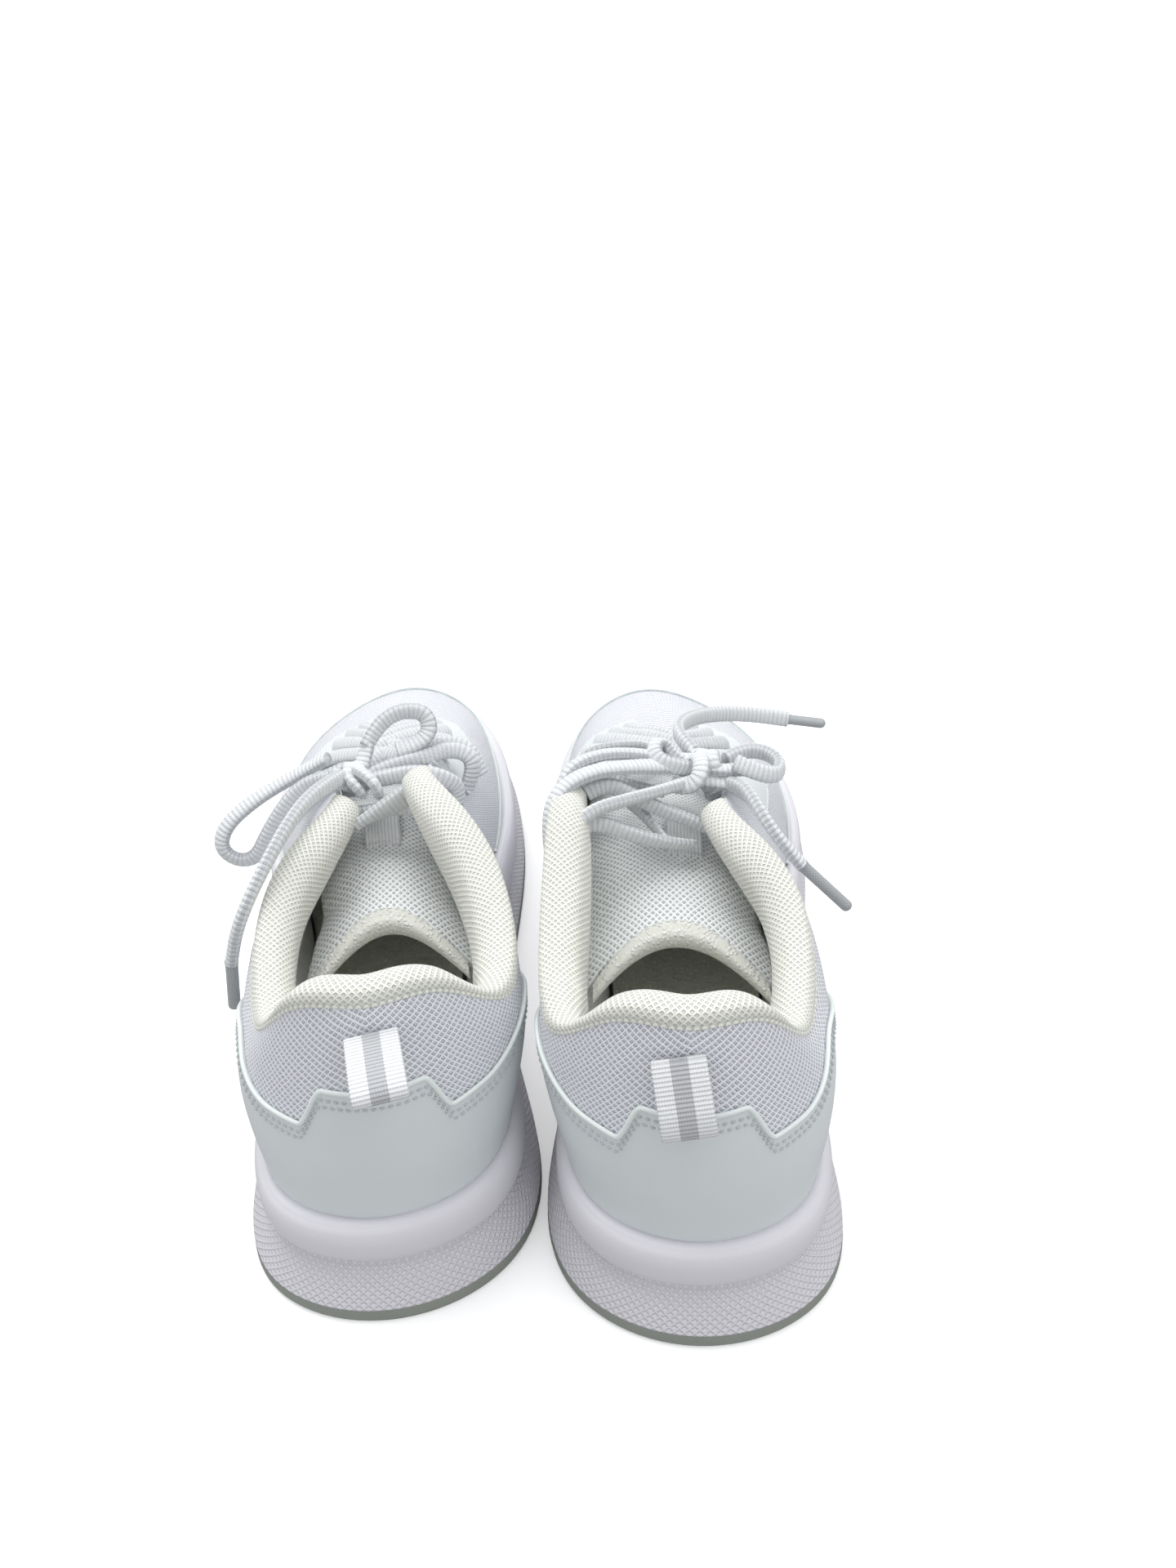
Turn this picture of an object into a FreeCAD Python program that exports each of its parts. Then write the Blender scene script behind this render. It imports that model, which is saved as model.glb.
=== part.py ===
import FreeCAD, Part
import math
import os

# A pair of low-cut cheer trainers, laced and tied, standing side by side with the toes turned
# out a little.  Each shoe is drawn in its own frame: x toward the little toe, y toward the toe
# and z up, with the origin on the ground under the back of the heel.  The left shoe is the
# mirror image of the right one, with its own heel loop and its own bow.  Millimetres throughout.

# ---------------------------------------------------------------- the pair
SOLE_LENGTH = 280.0          # heel to toe along the outsole
TOE_OUT = {"right": 4.4, "left": 5.0}    # degrees each shoe is turned outward
HEEL_SPACING = 77.0          # between the two heel origins
LEFT_AHEAD = 12.4            # the left shoe stands this much further forward
MIDDLE = (-1.08, 145.05)        # centre of the box round the pair

# ---------------------------------------------------------------- the sole
OUTSOLE_THICK = 4.5
TREAD_DEPTH = 1.6
TREAD_WIDTH = 3.2
TREAD_ROWS = (22, 38, 54, 150, 168, 186, 204, 222, 240, 256)
TOE_SPRING = 12.0            # lift of the toe tip off the ground
SPRING_START = 185.0         # where the sole leaves the ground
SKIN_INSET = 9.5             # outline to the foot of the upper
BOARD_THICK = 1.5
SOCKLINER_THICK = 5.0
CUP_EDGE = 5.0               # inset between the upper's foot and the insole pieces
REACH = 95.0                 # half width of the cutting prisms

# ---------------------------------------------------------------- the upper
MESH_THICK = 2.3
OVERLAY_THICK = 0.9
LAYER_GAP = 0.1
COUNTER_THICK = 1.4
LINING_THICK = 0.7
COLLAR_SKIN = 1.0
COLLAR_END = 4.15            # station where the collar pad stops, beside the first lace row

# ---------------------------------------------------------------- tongue, loops and laces
HINGE_Y = 98.0               # crease where the free end of the tongue lifts
TONGUE_GAP = 1.0
BINDING_WIDTH = 4.8
LOOP_WIDTH = 12.5
LOOP_STANDOFF = 2.4
LOOP_HEIGHT = 86.5
LOOP_ANGLE = {"right": -58.0, "left": -5.0}    # above the horizontal, degrees
LOOP_TILT = {"right": 8.0, "left": -8.0}       # turned in its own plane, degrees
LOOP_SHIFT = {"right": -2.5, "left": -0.9}     # to the side of the back seam
KEEPER_WIDTH = 13.0
LACE = 5.0                   # lace diameter as a round cord
EYELET = 5.6
AGLET = 3.4

# Sixteen stations round the shoe, from the back of the heel along the outer side to the toe
# and back along the inner side.
# Sole outline: x, y.
SOLE = [
    (0, 0), (30, 11.5), (40, 44), (38.5, 95), (45, 140), (52.5, 185), (50.5, 225), (30.5, 258),
    (-8, 280), (-39, 259), (-49, 222), (-48.5, 180), (-42, 138), (-36.5, 92), (-40, 44), (-30, 11.5),
]
# Top edge of the upper: collar at the heel, lace opening in front of it.
TOP = [
    (-3.5, 18.5, 94), (15, 25, 89.5), (28.5, 41, 71.5), (28.5, 78, 81), (12, 104, 91), (14, 136, 82),
    (12, 166, 72), (6, 185, 65), (-4, 191, 62.5), (-15, 186, 64.5), (-22, 167, 73),
    (-25.5, 136, 86), (-29.2, 106, 96.5), (-37.5, 78, 84.5), (-38, 41, 72.5), (-22, 25, 89.5),
]
# How the wall leaves the sole (up, out) and how it arrives at the top edge (x, y, z).
SWEEP = [
    (24, 4, 1, -7, -24), (24, 4, 6, -4, -24), (22, 6, 11, 0, -16), (20, 5, 9, 1, -18),
    (24, 5, 14, 8, -18), (22, 5, 16, 11, -12), (21, 5, 15, 18, -7), (24.5, 8, 9, 30, -7),
    (24.5, 9, 0, 38, -5), (24.5, 8, -9, 30, -7), (20, 5, -13, 17, -8), (22, 4, -12, 11, -13),
    (22, 5, -7, 8, -20), (20, 5, -1.5, 0, -18), (22, 6, -4, 0, -16), (24, 4, -4, -4, -24),
]
STATIONS = len(SOLE)
# How far the ground edge of the sole spreads beyond the outline, by y; half as far inside.
HEEL_FLARE = ((10, 2.8), (95, 0.6))
# How far the right collar is pushed open, and the left drawn in, at each station of the top edge.
SPREAD = {3: 1, 4: 1.2, 5: 1.5, 6: 1, 10: -1.5, 11: -4, 12: -8.4, 13: -2}
# Height of the heel cap's top edge, by station from the back seam: it steps down each side.
HEEL_CAP_EDGE = ((0.5, 72), (0.76, 60.5), (1.15, 60.5), (2.1, 65), (3.5, 33))

V = FreeCAD.Vector


# ---------------------------------------------------------------- curves
def loop_poles(points):
    """Poles of the closed, evenly stepped cubic that passes through the points."""
    poles = [list(point) for point in points]
    count = len(points)
    for _ in range(30):
        for i in range(count):
            before = poles[i - 1]
            after = poles[(i + 1) % count]
            poles[i] = [(6 * p - a - b) / 4 for p, a, b in zip(points[i], before, after)]
    return poles


def on_loop(poles, s):
    """The values of a closed cubic at station s."""
    first = math.floor(s)
    t = s - first
    weights = (
        (1 - t) ** 3 / 6,
        (3 * t ** 3 - 6 * t ** 2 + 4) / 6,
        (-3 * t ** 3 + 3 * t ** 2 + 3 * t + 1) / 6,
        t ** 3 / 6,
    )
    rows = [poles[(first + k - 1) % len(poles)] for k in range(4)]
    return [sum(w * row[j] for w, row in zip(weights, rows)) for j in range(len(rows[0]))]


def eased(keys, x):
    """Value at x between (position, value) keys, level at each key."""
    if x <= keys[0][0]:
        return keys[0][1]
    for (x0, v0), (x1, v1) in zip(keys, keys[1:]):
        if x <= x1:
            t = (x - x0) / (x1 - x0)
            return v0 + (v1 - v0) * t * t * (3 - 2 * t)
    return keys[-1][1]


def steps(start, end, count):
    return [start + (end - start) * i / count for i in range(count + 1)]


def upper_poles(side):
    """Poles of the stations' values; the right shoe's collar is spread wider than the left's."""
    sign = 1 if side == "right" else -1
    rows = []
    for k, (sole, top, sweep) in enumerate(zip(SOLE, TOP, SWEEP)):
        spread = sign * SPREAD.get(k, 0)
        rows.append(sole + (top[0] + spread,) + top[1:] + sweep)
    return loop_poles(rows)


UPPER = upper_poles("right")


# ---------------------------------------------------------------- heights along the sole
def ground(y):
    beyond = max(0.0, y - SPRING_START) / (SOLE_LENGTH - SPRING_START)
    return TOE_SPRING * beyond ** 2


def outsole_top(y):
    return OUTSOLE_THICK + ground(y)


def groove(y):
    """Shadow line between the flared lower midsole and its smooth rim."""
    return eased(((60, 18.5), (190, 12.5)), y) + ground(y)


def rim(y):
    return eased(((0, 31), (50, 31.5), (115, 35), (215, 23.5)), y) + ground(y)


def cup_floor(y):
    return eased(((60, 20), (190, 12)), y) + ground(y)


# ---------------------------------------------------------------- the shape of the upper
def outward(s):
    ahead = on_loop(UPPER, s + 0.02)
    behind = on_loop(UPPER, s - 0.02)
    return V(ahead[1] - behind[1], behind[0] - ahead[0], 0).normalize()


def sole_point(s, inset, height, flare=0.0):
    """Point inside the outline by inset; height is a function of y or a number."""
    x, y = on_loop(UPPER, s)[:2]
    away = outward(s)
    spread = flare * eased(HEEL_FLARE, y) * (0.75 + 0.25 * away.x)
    point = V(x, y, 0) - away * (inset - spread)
    point.z = height(point.y) if callable(height) else height
    return point


def bare_skin(s, h):
    """Outer face of the upper: station s round the shoe, h from its foot to its top edge."""
    row = on_loop(UPPER, s)
    top = V(*row[2:5])
    up, out = row[5:7]
    fall = V(*row[7:10])
    foot = sole_point(s, SKIN_INSET, cup_floor)
    low = foot + outward(s) * out + V(0, 0, up)
    high = top + fall
    g = 1 - h
    return foot * g ** 3 + low * (3 * g * g * h) + high * (3 * g * h * h) + top * h ** 3


def skin(s, h, lift=0.0):
    point = bare_skin(s, h)
    if lift == 0.0:
        return point
    step = 0.01
    along = bare_skin(s + step, h) - bare_skin(s - step, h)
    rising = bare_skin(s, h + step) - bare_skin(s, h - step)
    return point + along.cross(rising).normalize() * lift


def wall_length(s):
    points = [bare_skin(s, h) for h in steps(0, 1, 8)]
    return sum((b - a).Length for a, b in zip(points, points[1:]))


def at(s, rise, lift):
    """Point by its distance from the top edge along the skin, and its lift off the skin."""
    if rise <= 0:
        return skin(s, 1 + rise / wall_length(s), lift)
    top = bare_skin(s, 1)
    beyond = (top - bare_skin(s, 0.97)).normalize()
    return skin(s, 1, lift) + beyond * rise


def height_to_h(s, z):
    low = 0.0
    high = 1.0
    for _ in range(20):
        middle = (low + high) / 2
        if bare_skin(s, middle).z < z:
            low = middle
        else:
            high = middle
    return low


# ---------------------------------------------------------------- solids
def surface(grid):
    rows = len(grid)
    columns = len(grid[0])
    degree_u = min(3, rows - 1)
    degree_v = min(3, columns - 1)

    def knots(count, degree):
        spans = count - degree
        return [float(i) for i in range(spans + 1)], [degree + 1] + [1] * (spans - 1) + [degree + 1]

    knots_u, times_u = knots(rows, degree_u)
    knots_v, times_v = knots(columns, degree_v)
    face = Part.BSplineSurface()
    face.buildFromPolesMultsKnots(
        grid, times_u, times_v, knots_u, knots_v, False, False, degree_u, degree_v)
    return face.toShape()


def solid_of(faces):
    shell = Part.makeShell(faces)
    shell.sewShape()
    solid = Part.makeSolid(shell)
    if solid.Volume < 0:
        solid.reverse()
    return solid


def slab(outer, inner):
    """Closed solid between two grids of the same size."""
    faces = [surface(outer), surface(inner)]
    borders = (
        (outer[0], inner[0]),
        (outer[-1], inner[-1]),
        ([row[0] for row in outer], [row[0] for row in inner]),
        ([row[-1] for row in outer], [row[-1] for row in inner]),
    )
    for one, other in borders:
        faces.append(surface([[a, b] for a, b in zip(one, other)]))
    return solid_of(faces)


def panel(stations, h_low, h_high, lift_out, lift_in, rows=8):
    """Sheet on the upper between two edges, each a function of the station."""
    grids = []
    for lift in (lift_out, lift_in):
        grid = []
        for s in stations:
            grid.append([skin(s, h, lift) for h in steps(h_low(s), h_high(s), rows)])
        grids.append(grid)
    return slab(*grids)


RING_STATIONS = steps(0, STATIONS, 4 * STATIONS)[:-1]


def closed_curve(points):
    curve = Part.BSplineCurve()
    curve.interpolate(Points=points, PeriodicFlag=True)
    return curve.toShape()


def ring(inset, height, flare):
    return closed_curve([sole_point(s, inset, height, flare) for s in RING_STATIONS])


def block_of(rings):
    """Solid with flat ends whose side wall runs through the closed curves."""
    faces = [Part.makeRuledSurface(a, b) for a, b in zip(rings, rings[1:])]
    faces.append(Part.Face(Part.Wire([rings[0]])))
    faces.append(Part.Face(Part.Wire([rings[-1]])))
    return solid_of(faces)


def sole_block(levels):
    """Block whose side wall runs through the (inset, height, flare) levels."""
    return block_of([ring(*level) for level in levels])


def upper_block():
    """Block that the outer face of the upper and its overlays fill, up past the rim."""
    lift = OVERLAY_THICK + 2 * LAYER_GAP
    loops = [[skin(s, h, lift) for s in RING_STATIONS] for h in (0, 0.08, 0.16, 0.26, 0.38)]
    loops.insert(0, [V(p.x, p.y, BELOW) for p in loops[0]])
    loops.append([V(p.x, p.y, ABOVE + 40) for p in loops[-1]])
    return block_of([closed_curve(points) for points in loops])


def between(block, low, high):
    """The slice of a block between two height functions of y."""
    ends = []
    for height in (low, high):
        curve = Part.BSplineCurve()
        curve.interpolate([V(-REACH, y, height(y)) for y in steps(-20, 300, 20)])
        ends.append(curve.toShape())
    side = Part.makeRuledSurface(ends[0], ends[1])
    return block.common(side.extrude(V(2 * REACH, 0, 0)))


def raised(height, by):
    return lambda y: height(y) + by


def part_way(low, high, share):
    return lambda y: low(y) + (high(y) - low(y)) * share


# ---------------------------------------------------------------- sole pieces
BELOW = -15.0
ABOVE = 70.0


def outsole():
    levels = [
        (1.0, BELOW, 1.2), (1.0, raised(ground, -0.5), 1.2), (0.2, raised(ground, 1.2), 1.15),
        (0.3, raised(outsole_top, 1), 1), (0.3, ABOVE, 1),
    ]
    rubber = between(sole_block(levels), ground, outsole_top)
    for y in TREAD_ROWS:
        slot = Part.makeBox(2 * REACH, TREAD_WIDTH, TREAD_DEPTH * 2)
        slot.translate(V(-REACH, y, ground(y) - TREAD_DEPTH))
        rubber = rubber.cut(slot)
    return rubber


def midsole():
    levels = [
        (0.3, BELOW, 1), (0.3, raised(outsole_top, -1), 1), (0.5, raised(outsole_top, 1), 1),
        (1.9, part_way(outsole_top, groove, 0.42), 0.45),
        (4.6, part_way(outsole_top, groove, 0.85), 0), (5.4, groove, 0),
        (3.2, part_way(groove, rim, 0.06), 0), (2.4, part_way(groove, rim, 0.22), 0),
        (2.6, part_way(groove, rim, 0.6), 0), (3.6, part_way(groove, rim, 0.86), 0),
        (4.9, raised(rim, -0.4), 0), (5.4, raised(rim, 1), 0), (5.4, ABOVE, 0),
    ]
    foam = between(sole_block(levels), outsole_top, rim)
    return foam.cut(between(upper_block(), cup_floor, raised(rim, 30)))


def insole_piece(low, high):
    inset = SKIN_INSET + CUP_EDGE
    block = sole_block([(inset, BELOW, 0), (inset, ABOVE, 0)])
    return between(block, raised(cup_floor, low), raised(cup_floor, high))


# ---------------------------------------------------------------- upper pieces
ALL_ROUND = steps(0.02, STATIONS - 0.02, 112)
LACE_ROWS = (4.75, 5.35, 5.95, 6.5, 7.0)      # outer side, from the ankle to the toe


def other_side(s):
    return STATIONS - s


def eyelet_hole(s):
    centre = at(s, -8, 0)
    axis = (at(s, -8, 2) - centre).normalize()
    return Part.makeCylinder(EYELET / 2, 12, centre - axis * 6, axis)


def punched(sheet, stations):
    for s in stations:
        sheet = sheet.cut(eyelet_hole(s))
    return sheet


def upper_mesh():
    sheet = panel(ALL_ROUND, lambda s: 0.0, lambda s: 1.0, 0, -MESH_THICK, 12)
    rows = LACE_ROWS + tuple(other_side(s) for s in LACE_ROWS)
    return punched(sheet, rows)


def heel_overlay():
    """Smooth heel cap; its top edge steps down each side of the back seam."""
    edge = HEEL_CAP_EDGE
    top = lambda s: height_to_h(s, eased(edge, abs(s)))
    return panel(steps(-3.5, 3.5, 140), lambda s: 0.03, top,
                 LAYER_GAP + OVERLAY_THICK, LAYER_GAP, 6)


def toe_overlay():
    edge = ((4.4, 0.24), (8, 0.42), (11.6, 0.24))
    return panel(steps(4.4, 11.6, 60), lambda s: 0.03, lambda s: eased(edge, s),
                 LAYER_GAP + OVERLAY_THICK, LAYER_GAP, 6)


def eyestay(side):
    """Overlay along the lace opening with its punched eyelets."""
    width = ((4.5, 31), (7.4, 16))
    stations = steps(4.5, 7.4, 36)
    rows = LACE_ROWS
    if side < 0:
        stations = [other_side(s) for s in reversed(stations)]
        rows = [other_side(s) for s in rows]
    outer = lambda s: s if s < STATIONS / 2 else other_side(s)
    low = lambda s: 1 - eased(width, outer(s)) / wall_length(s)
    sheet = panel(stations, low, lambda s: 1.0, LAYER_GAP + OVERLAY_THICK, LAYER_GAP, 6)
    return punched(sheet, rows)


def heel_counter():
    top = lambda s: height_to_h(s, eased(((0, 54), (2.6, 34)), abs(s)))
    lift = -MESH_THICK - LAYER_GAP
    return panel(steps(-2.6, 2.6, 52), lambda s: 0.04, top, lift, lift - COUNTER_THICK, 6)


def toe_puff():
    lift = -MESH_THICK - 3 * LAYER_GAP
    top = lambda s: eased(((6.2, 0.3), (8, 0.5), (9.8, 0.3)), s)
    return panel(steps(6.2, 9.8, 36), lambda s: 0.04, top, lift, lift - COUNTER_THICK, 6)


def lining():
    """Thin lining of the foot space, from the insole up to the collar pad or the lace opening."""
    def top(s):
        from_back = min(s, other_side(s))
        below = eased(((COLLAR_END, 39), (COLLAR_END + 0.5, 2)), from_back)
        return 1 - below / wall_length(s)
    lift = -MESH_THICK - COUNTER_THICK - 3 * LAYER_GAP
    return panel(ALL_ROUND, lambda s: 0.05, top, lift, lift - LINING_THICK, 8)


# Section of the collar pad: lift off the skin and distance above the top edge, from the
# outer seam over the roll and down inside to the foot of the pad.
COLLAR_ROLL = [
    (0, 0.3), (0.9, 2.2), (0.2, 5.0), (-3.6, 6.6), (-7.6, 5.2), (-9.8, 1.0), (-10.4, -5),
    (-10.0, -13), (-8.6, -22), (-6.4, -30), (-3.9, -37),
]


def collar_size(s):
    return eased(((1.05, 0.9), (1.5, 0.6), (2.2, 1.2), (3.3, 1.2), (COLLAR_END, 0.95)), abs(s))


def collar_point(s, k, depth):
    """Point of the roll's k-th row, sunk by depth toward the middle of the pad."""
    lift, rise = COLLAR_ROLL[k]
    size = collar_size(s)
    inner_lift = -MESH_THICK - 0.2
    middle = (-5.5, -4)
    if depth:
        reach = math.hypot(lift - middle[0], (rise - middle[1]) * 0.5)
        share = min(0.8, depth / max(reach, 0.1))
        lift += (middle[0] - lift) * share
        rise += (middle[1] - rise) * share * 0.5
    if rise < 0.5:
        rise = rise if rise > -3 else rise * min(1, 0.5 + size / 2)
    else:
        rise *= size
    return at(s, rise, min(lift * size, 0.9) if rise > 0 else min(lift * size, inner_lift))


def collar_back(s, k):
    foot = COLLAR_ROLL[-1][1] * min(1, 0.5 + collar_size(s) / 2)
    rise = 0.3 + (foot - 0.3) * k / (len(COLLAR_ROLL) - 1)
    return at(s, rise, -MESH_THICK - 0.2)


COLLAR_STATIONS = steps(-COLLAR_END, COLLAR_END, 88)


def collar_grid(depth):
    rows = range(len(COLLAR_ROLL))
    return [[collar_point(s, k, depth) for k in rows] for s in COLLAR_STATIONS]


def collar_lining():
    return slab(collar_grid(0), collar_grid(COLLAR_SKIN))


def collar_foam():
    rows = range(len(COLLAR_ROLL))
    back = [[collar_back(s, k) for k in rows] for s in COLLAR_STATIONS]
    return slab(collar_grid(COLLAR_SKIN + LAYER_GAP), back)


# ---------------------------------------------------------------- tongue
# Middle line of the tongue's upper face: y, x, z, half width, drop to its sides, thickness.
TONGUE = {
    "right": [
        (186, -4, 55, 16, 3, 3), (166, -4, 62.5, 23, 5, 3.5), (142, -5.5, 70.5, 26, 7, 4),
        (120, -6.5, 75, 25, 8, 5), (99, -5.4, 73.5, 23.4, 8, 6), (90, -4.8, 71, 22.4, 8, 6),
        (82, -3.5, 68.5, 23.4, 7, 6), (66, -2.4, 62, 24.7, 6, 5),
    ],
    "left": [
        (186, -4, 55, 15, 3, 3), (166, -3, 62.5, 21, 5, 3.5), (142, -2.5, 70.5, 22, 7, 4),
        (120, -2.7, 75, 19.8, 8, 5), (99, -3.3, 73.5, 18.3, 8, 6), (90, -3.8, 71, 17.6, 8, 6),
        (82, -3.7, 68.5, 19.3, 7, 6), (66, -3.7, 62, 22.4, 6, 5),
    ],
}
TONGUE_END = 77.5            # y of the free end at its middle
TONGUE_CORNER = 13.0         # its corners reach this much further back
SIDE_THICK = 0.6             # share of the thickness left at the sides
TONGUE_ROWS = TONGUE["right"]


def tongue_row(y):
    for back, front in zip(TONGUE_ROWS[1:], TONGUE_ROWS):
        if y >= back[0]:
            t = (y - back[0]) / (front[0] - back[0])
            return [b + (f - b) * t for b, f in zip(back, front)]
    return list(TONGUE_ROWS[-1])


def tongue_point(u, y, top):
    _, x, z, half, drop, thick = tongue_row(y)
    z -= drop * u * u
    if not top:
        z -= thick * (1 - (1 - SIDE_THICK) * u * u)
    return V(x + half * u, y, z)


def tongue_end(u):
    return TONGUE_END - TONGUE_CORNER * u * u


def tongue_piece(start, end, proud=0.0):
    """Part of the tongue between two edges, each a function of u from -1 to 1."""
    grids = []
    for top in (True, False):
        grid = []
        for u in steps(-1, 1, 12):
            rows = [tongue_point(u, y, top) for y in steps(start(u), end(u), 10)]
            grid.append([p + V(0, 0, proud if top else -proud) for p in rows])
        grids.append(grid)
    return slab(*grids)


def tongue_root():
    return tongue_piece(lambda u: 186, lambda u: HINGE_Y + TONGUE_GAP)


def tongue_flap():
    return tongue_piece(lambda u: HINGE_Y, lambda u: tongue_end(u) + BINDING_WIDTH)


def tongue_binding():
    return tongue_piece(lambda u: tongue_end(u) + BINDING_WIDTH - 0.1, tongue_end, 0.5)


KEEPER_FRONT = 121.0
KEEPER_BACK = 107.0
KEEPER_RISE = 3.6
KEEPER_THICK = 1.2


def lace_keeper():
    """Flat webbing bridge sewn to the tongue at its two ends."""
    half = KEEPER_WIDTH / 2
    grids = []
    for lift in (KEEPER_THICK, 0):
        grid = []
        for x in steps(-1 - half, -1 + half, 3):
            row = []
            for k, y in enumerate(steps(KEEPER_FRONT, KEEPER_BACK, 8)):
                _, middle, _, wide, _, _ = tongue_row(y)
                arch = KEEPER_RISE * math.sin(math.pi * k / 8)
                point = tongue_point((x - middle) / wide, y, True)
                row.append(point + V(0, 0, 0.2 + arch + lift))
            grid.append(row)
        grids.append(grid)
    return slab(*grids)


# ---------------------------------------------------------------- heel loop
LOOP_OUTER = [
    (0, 1.5), (5.5, 2.6), (11, 3.0), (15.4, 2.1), (16.8, 0), (15.4, -2.1), (11, -3.0), (5.5, -2.6),
    (0, -1.5),
]
LOOP_INNER = [
    (2.4, 0.5), (6, 1.4), (11, 1.8), (14.6, 1.2), (15.6, 0), (14.6, -1.2), (11, -1.8), (6, -1.4),
    (2.4, -0.5),
]


def loop_axis(side):
    """Point of the sewn edge that the heel loop turns about, in the shoe's frame."""
    point = skin(0, height_to_h(0, LOOP_HEIGHT), LOOP_STANDOFF)
    return V(TOP[0][0] + LOOP_SHIFT[side], point.y, point.z)


def pull_loop(side):
    """Webbing folded back on itself, sewn along its root."""
    faces = []
    for outline in (LOOP_OUTER, LOOP_INNER):
        points = [V(0, -reach, up) for reach, up in outline]
        curve = Part.BSplineCurve()
        curve.interpolate(points)
        edges = [curve.toShape(), Part.LineSegment(points[-1], points[0]).toShape()]
        faces.append(Part.Face(Part.Wire(edges)))
    band = faces[0].cut(faces[1]).extrude(V(LOOP_WIDTH, 0, 0))
    band.translate(V(-LOOP_WIDTH / 2, 0, 0))
    band.rotate(V(0, 0, 0), V(0, 0, 1), LOOP_TILT[side])
    band.rotate(V(0, 0, 0), V(1, 0, 0), -LOOP_ANGLE[side])
    band.translate(loop_axis(side))
    return band


# ---------------------------------------------------------------- laces
def cord_edges(points, label=""):
    """Straight runs joined by tangent arcs as large as the runs leave room for."""
    points = [V(*p) for p in points]
    edges = []
    radii = []
    start = points[0]
    room = [0.45 * (b - a).Length for a, b in zip(points, points[1:])]
    room[0] *= 2
    room[-1] *= 2
    for i, (before, corner, after) in enumerate(zip(points, points[1:], points[2:])):
        arriving = (corner - before).normalize()
        leaving = (after - corner).normalize()
        half_turn = math.acos(max(-1.0, min(1.0, arriving.dot(leaving)))) / 2
        reach = min(room[i], room[i + 1])
        radius = reach / math.tan(half_turn)
        radii.append(radius)
        first = corner - arriving * reach
        last = corner + leaving * reach
        inward = (leaving - arriving).normalize()
        middle = corner + inward * (radius / math.cos(half_turn) - radius)
        edges.append(Part.LineSegment(start, first).toShape())
        edges.append(Part.Arc(first, middle, last).toShape())
        start = last
    edges.append(Part.LineSegment(start, points[-1]).toShape())
    if label:
        print(label, "smallest radius", round(min(radii), 1),
              "length", round(sum(edge.Length for edge in edges), 1))
    return edges


def tube(points, diameter, label=""):
    edges = cord_edges(points, label)
    path = Part.Wire(edges)
    start = V(*points[0])
    heading = (V(*points[1]) - start).normalize()
    circle = Part.Wire([Part.Circle(start, heading, diameter / 2).toShape()])
    solid = path.makePipeShell([circle], True, False)
    section = math.pi * diameter ** 2 / 4
    error = solid.Volume / (section * path.Length) - 1
    if abs(error) > 0.02 or not solid.isValid():
        print("tube", label, "volume off by", round(error, 3), solid.isValid())
    return solid


def aglet(start, end):
    """Clear sleeve with a rounded tip on the end of a lace."""
    start = V(*start)
    axis = V(*end) - start
    sleeve = Part.makeCylinder(AGLET / 2, axis.Length, start, axis)
    tip = Part.makeSphere(AGLET / 2, start + axis)
    return sleeve.fuse(tip).removeSplitter()


def through_eyelet(s):
    """The bend of a strand as it comes up out of its eyelet."""
    return [at(s, -8, 0), at(s, -7.7, 4.2)]


def crossing(from_s, to_s, sag):
    """One strand: up through an eyelet, across the tongue and under the other edge."""
    edge = at(from_s, 1.5, 3.8)
    far = at(to_s, 5.5, -1.2)
    under = at(to_s, 2.0, -6.0)
    middle = (edge + far) * 0.5 + V(0, 0, sag)
    return tube(through_eyelet(from_s) + [edge, middle, far, under], LACE)


def to_knot(from_s, side, drop):
    """Strand from an ankle eyelet over the edge to just short of the knot."""
    centre = V(*KNOT[side])
    edge = at(from_s, 2.5, 3.8)
    away = edge - centre
    away.normalize()
    meet = centre + away * (KNOT_RING + LACE / 2 + 3.5) - V(0, 0, drop)
    middle = (edge + meet) * 0.5 + V(0, 0, 1.5)
    return tube(through_eyelet(from_s) + [edge, middle, meet], LACE)


def laced_part(side):
    """The strands that the eyelets hold, from the toe end up to the ankle and the knot."""
    rows = LACE_ROWS[::-1]
    strands = []
    for low, high in zip(rows, rows[1:]):
        strands.append(crossing(low, other_side(high), 1.0))
        strands.append(crossing(other_side(low), high, 2.4))
    if side == "right":
        strands.append(to_knot(other_side(LACE_ROWS[0]), side, 0.5))
    return strands[0].fuse(strands[1:])


# Free lace ends and the hanging loop of the bow, in each shoe's frame.
TAILS = {
    "right_lace_tail_front": [
        (3.5, 128, 96), (-0.5, 133.5, 98), (-1, 141, 97), (2, 150.5, 94), (7.5, 158.5, 91),
        (14.5, 164, 88.5), (22, 167, 86.5), (30, 168, 85), (38, 168, 83.5),
    ],
    "right_lace_tail_side": [
        (12.5, 118, 91.5), (16.5, 113.8, 93.4), (19, 109, 93), (21.5, 103.8, 91), (24.4, 100, 87.6),
        (28.6, 97.2, 83), (33, 95.4, 78.2),
    ],
    "left_lace_tail_side": [
        (6.5, 112, 96.5), (10.5, 104, 99.2), (15.5, 96, 99.4), (20, 88.5, 97.2), (24, 81.6, 93.8),
        (27.6, 76, 90), (31, 71.6, 85.6), (34.2, 69.6, 80), (36.8, 69.2, 73.8), (38.8, 68.8, 67.4),
    ],
    "left_bow_loop": [
        (10, 119, 92.2), (15.5, 121.4, 90.4), (21.5, 121.8, 87), (27, 120.4, 81.8),
        (33, 118.6, 74), (37.6, 117.2, 66.6), (43.6, 116.9, 65.8), (48.6, 118.2, 70.8),
        (45.4, 120.4, 78), (36.5, 124.2, 83.2), (28, 128, 86), (19.5, 129.2, 89.4), (12, 127.6, 94),
    ],
}
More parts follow.
